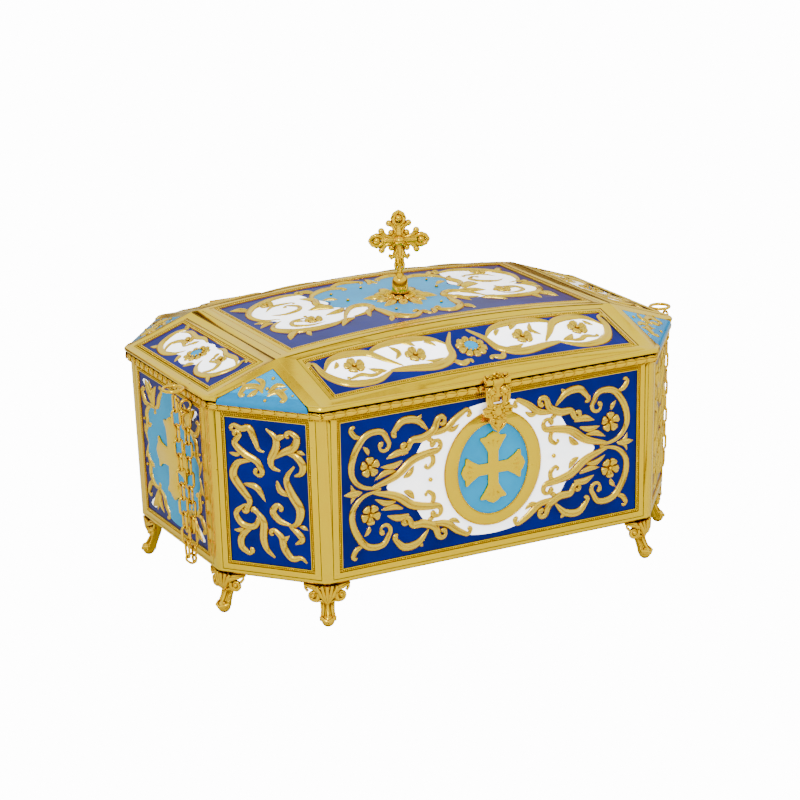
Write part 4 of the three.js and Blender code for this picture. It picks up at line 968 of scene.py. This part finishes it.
# ---------------------------------------------------------------- shells and the braid round the rim
def two_tone(o, is_inside):
    """Polished outside, plainer gilding inside."""
    paint(o, GILT_FRAME, GILT_INSIDE)
    for f in o.data.polygons:
        f.material_index = 1 if is_inside(f.center / MM, f.normal) else 0
    return smooth(o, 35)


def reach_of(point):
    """How far out of the body's plan a point lies; negative inside."""
    return max(side(i)[2].dot(point.xy - side(i)[0]) for i in range(8))


def box_body():
    """Inside are the floor's upper face and the walls' inner faces."""
    def inside(c, n):
        return (n.z > 0.5 and c.z < FOOT_HEIGHT + 4) or (reach_of(c) < -1.5 and c.z > FOOT_HEIGHT + 2)
    gold_piece(two_tone(softened_copy("box_shell", 0.45), inside), "box", "box_shell")


def lid_body():
    """The solid's crown is faceted in four strips; the finished lid curves evenly between the same heights."""
    o = softened_copy("lid_shell", 0.4, cut=ARCH_STATIONS)
    strip = CREASE_X / 2
    for v in o.data.vertices:
        x, y, z = v.co / MM
        if abs(x) < CREASE_X and z > RIM_Z:
            bend = (min(3, int((x + CREASE_X) // strip)) - 2) * strip
            share = (x - bend) / strip
            straight = arch(bend) * (1 - share) + arch(bend + strip) * share
            v.co.z += (arch(x) - straight) * arch_share(y) * MM
    gold_piece(two_tone(o, lambda c, n: n.z < -0.3 and reach_of(c) < 0), "lid", "lid_shell")


BRAID_OUT, BRAID_Z, SCALE_PITCH = 3.0, 100.8, 5.6
SCALE_HALF_SIZES, SCALE_TUCK = (3.3, 0.75, 1.75), 8
PEARL_BACK, PEARL_Z, PEARL_PITCH, PEARL_RADIUS = 0.45, 98.75, 1.15, 0.42


def scale_shape():
    """One scale of the braid: an egg, its far end tucked under the next one."""
    bpy.ops.mesh.primitive_uv_sphere_add(segments=14, ring_count=8, radius=1)
    bpy.ops.transform.resize(value=SCALE_HALF_SIZES)
    bpy.ops.transform.rotate(value=math.radians(SCALE_TUCK), orient_axis="Z", center_override=(0, 0, 0))
    return shape_made()


def braid():
    """Overlapping scales on the moulding under the lid, fine leaves between each pair, and pearls below."""
    corners, faces = scale_shape()
    pieces, leaves, pearls = [], [], []
    for i in range(8):
        a, along, out, length = side(i)
        grown = length + 2 * BRAID_OUT * math.tan(math.radians(22))
        middle = a + along * (length / 2) + out * BRAID_OUT
        places = [middle + along * s for s in spread(grown, SCALE_PITCH)]
        turned = [Vector((*(along * c.x - out * c.y), c.z)) for c in corners]
        pieces.append(repeated(f"braid_{i}", (turned, faces), [(Vector((*at, BRAID_Z)), 1) for at in places]))
        for at in places:
            near, far = at + along * 2.2 + out * 0.35, at + along * 4.2 + out * 0.1
            leaves += [[(*near, BRAID_Z + up * 1.5, 0.34), (*far, BRAID_Z + up * 0.5, 0.12)] for up in (-1, 1)]
        pearls += [(*(middle + along * s - out * PEARL_BACK), PEARL_Z, PEARL_RADIUS)
                   for s in spread(grown, PEARL_PITCH)]
    pieces += [smooth(strokes("braid_leaves", leaves, shape="round"), 60), domes("braid_pearls", pearls)]
    gold_piece(joined("braid", [set_in_place(paint(o, GILT_CAST)) for o in pieces]), "box")


# ---------------------------------------------------------------- feet
# A foot's leg, from the casket down: height, inset from the corner and half-width.
LEG = [(17.5, 5.6, 4.4), (14, 6.2, 3.8), (11, 6.0, 2.9), (8, 5.0, 2.6), (5.4, 3.8, 2.9), (3.4, 2.9, 3.4),
       (2.2, 2.6, 2.4)]
# The five lobes of its palmette: how far to the side, top and half-width.
LOBES = [(-4.6, 19.4, 1.0), (-2.4, 19.7, 1.05), (0, 19.8, 1.1), (2.4, 19.7, 1.05), (4.6, 19.4, 1.0)]


def volute(centre, d):
    """A curl in the upright plane through direction d; it starts on its outer turn."""
    radius, turns, start, half, end_half = 2.7, 1.25, math.radians(150), 1.25, 0.7
    steps = round(14 * turns)
    line = []
    for k in range(steps + 1):
        t, s = start + 2 * math.pi * turns * k / steps, k / steps
        r = radius * (1 - 0.72 * s)
        line.append((*(centre + d * (r * math.cos(t)) + UP * (r * math.sin(t))), half * (1 - s) + end_half * s))
    return line


def foot(i):
    """A cast foot under corner i: a leg with two serrated ridges and a toe, a palmette, and a volute with a
    leaf under each wall."""
    corner = Vector((*CORNERS[i], 0))
    _, after, out_after, _ = side(i)
    _, before, out_before, _ = side(i - 1)
    outward = (out_after + out_before).normalized().to_3d()
    across = Vector((-outward.y, outward.x, 0))

    def along(d, out, *points):
        """A line from points given along d, inwards and up, with their half-widths."""
        return [(*(corner + d * a - out * inset + UP * z), half) for a, inset, z, half in points]

    def leg(*points):
        return along(across, outward, *points)

    lines = [leg(*((0, inset + 0.6, z, half * 0.8) for z, inset, half in LEG)),
             leg((0, 5.4, 12.5, 2.6), (0, 5.6, 16, 4.0), (0, 5.8, 18.6, 4.6), (0, 5.8, 19.6, 4.2)),
             leg((0, 5.2, 14, 0.3), (0, 4.3, 10, 0.8), (0, 2.4, 6.6, 0.9), (0, 0.6, 4.4, 0.5))]
    beads = []
    for s in (-1, 1):  # a serrated ridge, the toe's curled tip, and a stem beside the palmette
        ridge = leg(*((s * half * 0.72, inset - 0.5, z, 1.05) for z, inset, half in LEG[1:-1]))
        lines += [ridge + leg((0, 0.9, 1.7, 0.7)),
                  leg((s * 3.2, 2.4, 4.6, 0.9), (s * 2.2, 0.4, 3.9, 1.1), (0, -0.4, 3.0, 0.9)),
                  leg((0, 2.6, 11, 0.55), (s * 3.0, 3.0, 14.2, 0.7), (s * 6.0, 4.4, 17.6, 0.6))]
        beads += [(p + across * (s * 0.8) + outward * 0.5, 0.66) for p in flow([q[:3] for q in ridge], 0.85)]
    lines += [leg((a * 0.2, 2.6, 11.6, 0.3), (a * 0.6, 1.9, 15.2, half), (a, 1.2 + abs(a) * 0.3, top, half * 0.85))
              for a, top, half in LOBES]
    for d, out in ((after.to_3d(), out_after.to_3d()), (-before.to_3d(), out_before.to_3d())):
        heart = corner + d * 7.6 - out * 1.7 + UP * 14.3
        lines += [volute(heart, d),
                  [(*(heart - out * 1.4), 2.0), (*(heart - out * 0.2), 1.9)],
                  along(d, out, (1.6, 2.6, 15, 2.0), (4.6, 2.4, 17.2, 2.4), (8.4, 2.2, 18.4, 1.5),
                        (12.6, 1.9, 19.3, 0.4)),
                  along(d, out, (5.4, 1.1, 17.2, 0.3), (8.6, 1.0, 18.0, 0.85), (12.2, 1.2, 19.1, 0.25)),
                  along(d, out, (10.2, 1.5, 16, 0.75), (11.6, 1.5, 17.6, 0.7), (12.0, 1.5, 19.2, 0.3)),
                  along(d, out, (2.4, 2.4, 11.4, 0.5), (4.6, 1.6, 12.2, 0.7), (6.4, 1.4, 11.5, 0.5))]
        beads.append((heart + out * 0.5, 1.2))
    pieces = [smooth(strokes(f"foot_{i + 1}_finished", lines, shape="round", twist="MINIMUM"), 70),
              repeated("beads", ball_shape(2), beads),
              repeated("toe", ball_shape(3), [(corner - outward * 2.5 + UP * 2.9, 3.0)])]
    for o in pieces:
        set_in_place(paint(o, GILT_CAST), lambda x, y, z: Vector((x, y, max(0, z))))
    gold_piece(joined(f"foot_{i + 1}_finished", pieces), "box", f"foot_{i + 1}")


# ---------------------------------------------------------------- finial
FULL = 1.7  # the cross's lines are this much fuller than drawn
# Half of an arm of the cross, and of its foot: points outwards and to the side, with half-widths.
ARM = [[(2.0, 1.0, 0.5), (4.6, 1.7, 0.65), (6.6, 2.4, 0.65), (8.0, 4.0, 0.75)],
       [(3.4, 0.9, 0.4), (6.2, 1.2, 0.55), (8.0, 2.2, 0.5)],
       [(7.4, 0.6, 0.6), (8.8, 2.1, 0.75), (10.6, 2.6, 0.75), (12.6, 1.8, 0.7), (13.7, 0.3, 0.6)]]
CROSS_FOOT = [[(2.2, 0.8, 0.5), (5.2, 1.6, 0.7), (7.6, 2.4, 0.7), (8.6, 3.8, 0.65), (7.7, 4.6, 0.55),
               (6.9, 4.1, 0.45)],
              [(4.0, 0.9, 0.5), (8.2, 1.2, 0.65), (10.6, 1.5, 0.5)]]
BETWEEN = [(1.6, 1.6, 0.7), (2.7, 2.7, 0.6), (3.6, 3.6, 0.6)]  # a line between two arms
ARM_BALLS = [(8.3, -4.6, 1.6), (8.3, 4.6, 1.6), (10.6, 0, 1.95), (13.9, 0, 0.95)]
FERRULE = [(4.0, 124.6), (4.1, 125.4), (3.75, 130.6), (3.2, 131.8), (2.0, 132.9), (1.6, 134.2)]  # radius, height
FERRULE_SIDES = 16


def rosette():
    """Eight broad petals, eight narrow leaves on them, and a round seat."""
    petals = [[(u, v, w * 0.94) for u, v, w in line] for line in flower(0, 0, 8, 8, 11)]
    petals += [leaf(*spun([(3.4, 0), (7.4, 0)], 33.5 + 45 * k), 1.3, 0) for k in range(8)]

    def on_crest(x, y, h):
        return Vector((x, y, lid_height("top", x, y) + 1.1 - 0.1 * math.hypot(x, y) + h))
    spray = set_in_place(strokes("finial_rosette_finished", petals), on_crest)
    bpy.ops.mesh.primitive_cylinder_add(vertices=40, radius=5 * MM, depth=1.2 * MM, location=(0, 0, 122.9 * MM))
    seat = new_piece("seat")
    seat.data.transform(seat.matrix_world)
    seat.matrix_world = Matrix.Identity(4)
    gold_piece(joined("finial_rosette_finished", [cast(spray, 50), cast(seat, 50)]), "lid", "finial_rosette")


def ferrule():
    n, last = FERRULE_SIDES, len(FERRULE) - 1
    points = [(u, v, z) for r, z in FERRULE for u, v in oval(r, r, n)]
    faces = [(n * r + k, n * r + (k + 1) % n, n * (r + 1) + (k + 1) % n, n * (r + 1) + k)
             for r in range(last) for k in range(n)]
    faces += [tuple(range(n - 1, -1, -1)), tuple(n * last + k for k in range(n))]
    data = bpy.data.meshes.new("ferrule")
    data.from_pydata(points, [], faces)
    return cast(set_in_place(linked("ferrule", data)), 24)


def finial():
    """An openwork cross on a ferrule: ribbed arms, balls at their tips and between them, a boss with beads, and
    a loop with a stem under it."""
    lines, balls = [], []
    for quarter in range(4):
        at_foot = quarter == 3
        drawn = [[(1.5, 0, 1.0), (4, 0, 1.0), (11 if at_foot else 8.6, 0, 0.75)], BETWEEN]
        drawn += [[(u, s * v, r) for u, v, r in line] for s in (-1, 1) for line in (CROSS_FOOT if at_foot else ARM)]
        lines += [[(u, v, 0, r * FULL) for u, v, r in spun(line, 90 * quarter)] for line in drawn]
        round_ends = [(3.7, 3.7, 1.5), *([] if at_foot else ARM_BALLS)]
        balls += [(Vector((u, v, 0)), r) for u, v, r in spun(round_ends, 90 * quarter)]
    balls += [(Vector((0, 0, h)), 2.5) for h in (-2.2, 2.2)]
    balls += [(Vector((1.9 * math.cos(t), 2.9 * math.sin(t), h)), 0.62)
              for h in (-1, 1) for t in (math.radians(45 * k + 22.5) for k in range(8))]
    balls.append((Vector((0, -12.1, 0)), 1.4))
    lines += [[(s * 0.2, -14.4, 0, 0.6), (s * 0.9, -16.0, 0, 0.6), (s * 1.6, -17.6, 0, 0.7)] for s in (-1, 1)]
    lines.append([(0, -10, 0, 1.0), (0, -14.6, 0, 0.9), (0, -18.6, 0, 1.3)])
    loop = [(u, v - 12.3, 0, 0.75) for u, v in oval(2.0, 2.4, 20)]
    c, s = math.cos(math.radians(CROSS_TURN)), math.sin(math.radians(CROSS_TURN))

    def upright(u, v, h):
        return Vector((u * c + h * s, u * s - h * c, CROSS_MIDDLE + v))
    pieces = [strokes("finial_cross_finished", lines, shape="round", twist="MINIMUM"),
              strokes("loop", [loop], shape="round", closed=True, twist="MINIMUM"),
              repeated("balls", ball_shape(3), balls)]
    pieces = [cast(set_in_place(o, upright), 70) for o in pieces]
    gold_piece(joined("finial_cross_finished", [*pieces, ferrule()]), "lid", "finial_cross")


# ---------------------------------------------------------------- hasp, hinges, rings and chains
def softened(node, body, width=0.25):
    gold_piece(cast(softened_copy(node, width), 35), body, node)


def dressed(name, node, body, face_y, lines, spots):
    """A softened plate, with gilt work and balls on its face."""
    work = [strokes(name + "_work", lines), domes(name + "_balls", spots)]
    work = [cast(set_in_place(o, lambda x, z, h: Vector((x, face_y - h, z))), 60) for o in work]
    gold_piece(joined(name + "_finished", [cast(softened_copy(node, 0.22), 35), *work]), body, node)


def hasp():
    """The solid's plate with softened edges, and on it petals, cords and balls; its lug, pin and catch."""
    drawn = mirrored([scroll([(5.9, 101.6), (5.7, 97), (4.6, 93.4), (2.6, 92.8)], 1.1),
                      scroll([(2.9, 101.4), (2.9, 97.2), (2.7, 93.6)], 0.9),
                      scroll([(4.3, 85.2), (2.4, 82.9), (0.3, 80.9)], 1.0)])
    drawn += [scroll([(-2.8, 93.2), (0, 92.7), (2.8, 93.2)], 0.9), scroll([(-5.2, 97.4), (-3.2, 97.5)], 0.8),
              scroll([(3.2, 97.5), (5.2, 97.4)], 0.8), *flower(0, 90, 3.5, 8)]
    for s in (-1, 1):
        drawn += [leaf((s * 3.1, 91.4), (s * 7.6, 91.3), 1.7, 0.1), leaf((s * 3.1, 89), (s * 7.1, 88.9), 1.6, -0.1),
                  leaf((s * 1.6, 87.2), (s * 3.9, 85.6), 1.5, 0.1), *flower(s * 3.4, 99.7, 2.6, 4, 45)]
    spots = [(0, 90, -0.1, 1.4), (0, 84.4, 0.1, 1.2)]
    spots += mirrored_dots([(3.4, 99.7, 0.3, 1.0), (6.5, 90.1, 0.2, 0.6), (5.7, 93.2, 0.1, 0.6)])
    dressed("hasp", "hasp_leaf", "hasp", HASP_Y - 0.5, drawn, spots)
    knob = flower(0, 106.7, 2.1, 4, 45) + [line for s in (-1, 1) for line in flower(s * 4.6, 105.4, 2.0, 4, 0)]
    dressed("hasp_lug", "hasp_lug", "lid", HASP_Y + 0.9, knob,
            [(0, 106.7, 0.6, 0.8), *mirrored_dots([(4.6, 105.4, 0.6, 0.7)])])
    softened("hasp_pin", "lid", 0.15)
    softened("hasp_catch", "box", 0.2)


def hinges():
    for s in ("left", "right"):
        softened(f"hinge_box_leaf_{s}", "box")
        softened(f"hinge_lid_leaf_{s}", "lid")
        softened(f"hinge_pin_{s}", "box", 0.15)


def wire_loop(name, points, half):
    o = strokes(name, [[(*p, half) for p in points]], shape="round", closed=True, twist="MINIMUM")
    return cast(set_in_place(o), 60)


def round_loop(centre, radius, a, b):
    return [centre + a * u + b * v for u, v in oval(radius, radius, 36)]


CHAIN_LINKS, LINK_SIDES = 22, 16
LINK_HALF_WIDTH, LINK_WIRE, LINK_HOOK = 1.95, 0.62, 0.6  # half-widths, and how far a link reaches past its ends


def link_points(start, end, sideways):
    """An oval link between two points of the chain, long enough to hook its neighbours."""
    middle, along = (start + end) / 2, (end - start).normalized()
    across = (sideways - along * sideways.dot(along)).normalized()
    straight = max(0, (end - start).length / 2 + LINK_HOOK - LINK_HALF_WIDTH)
    line = []
    for k in range(LINK_SIDES):
        t = 2 * math.pi * (k + 0.5) / LINK_SIDES
        line.append(middle + across * (LINK_HALF_WIDTH * math.cos(t))
                    + along * (LINK_HALF_WIDTH * math.sin(t) + math.copysign(straight, math.sin(t))))
    return line


def chain_path(sign):
    """The narrow U of the chain, from the eye down to its bend and up to the ring, in equal steps."""
    inner, near, low, far, outer = (Vector((sign * x, y, z)) for x, y, z in (
        (125.1, -28, 92.2), (125.6, -31, 22.5), (127.1, -31, 19.5), (128.6, -31, 22.5), (131.2, -29.8, 102.05)))
    line = [inner.lerp(near, k / 60) for k in range(60)]
    line += [near.lerp(low, k / 20).lerp(low.lerp(far, k / 20), k / 20) for k in range(20)]
    line += [far.lerp(outer, k / 70) for k in range(71)]
    reach = [0]
    for a, b in zip(line, line[1:]):
        reach.append(reach[-1] + (b - a).length)
    points = []
    for k in range(CHAIN_LINKS + 1):
        want = reach[-1] * k / CHAIN_LINKS
        j = next((n for n in range(len(reach) - 1) if reach[n + 1] >= want - 1e-9), len(reach) - 2)
        points.append(line[j].lerp(line[j + 1], (want - reach[j]) / (reach[j + 1] - reach[j])))
    return points


def chains():
    """A ring on the lid, an eye on the box, and between them a chain in two strands."""
    x, y = Vector((1, 0, 0)), Vector((0, 1, 0))
    for name, sign in (("left", -1), ("right", 1)):
        ring = round_loop(Vector((sign * 130.1, -26, 104.2)), 4.8, x, y)
        gold_piece(wire_loop(f"lid_ring_{name}_finished", ring, 0.75), "lid", f"lid_ring_{name}")
        eye = round_loop(Vector((sign * 125.1, -28, 96.2)), 2.6, x, UP)
        gold_piece(wire_loop(f"staple_{name}_finished", eye, 0.7), "box", f"staple_{name}")
        points = chain_path(sign)
        links = [(a, b, (x, y)[k % 2]) for k, (a, b) in enumerate(zip(points, points[1:]))]
        half = CHAIN_LINKS // 2 - 1
        for strand, group, start, end in (("inner", links[:half], 96, -54), ("outer", links[half:], -62, 104)):
            made = [wire_loop(f"link_{k}", link_points(*link), LINK_WIRE) for k, link in enumerate(group)]
            piece = joined(f"chain_{name}_{strand}", made)
            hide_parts(f"chain_{name}")
            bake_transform(piece)


SEAM_HALF, END_SEAM_X = 0.17, 84.2


def seams():
    """Dark solder seams on the lid: along its creases, and across its top near each end."""
    lines = []
    for s in (-1, 1):
        y = s * (CREASE_Y + 0.6)
        lines += [[(x, y, min(lid_height(kind, x, y) for kind in ("long", "end", "corner")) + 0.02, SEAM_HALF)
                   for x in range(-84, 85, 4)],
                  [(s * (CREASE_X + 0.5), y, CREASE_Z, SEAM_HALF) for y in range(-46, 47, 4)],
                  [(s * END_SEAM_X, y, CREASE_Z + arch(END_SEAM_X) + 0.03, SEAM_HALF) for y in range(-44, 45, 4)]]
    o = set_in_place(strokes("lid_seams", lines, shape="round"))
    gold_piece(smooth(paint(o, SEAM), 60), "lid")


box_body()
lid_body()
seams()
braid()
for corner_index in range(8):
    foot(corner_index)
rosette()
finial()
hasp()
hinges()
chains()

for profile in SECTIONS.values():
    bpy.data.objects.remove(profile)
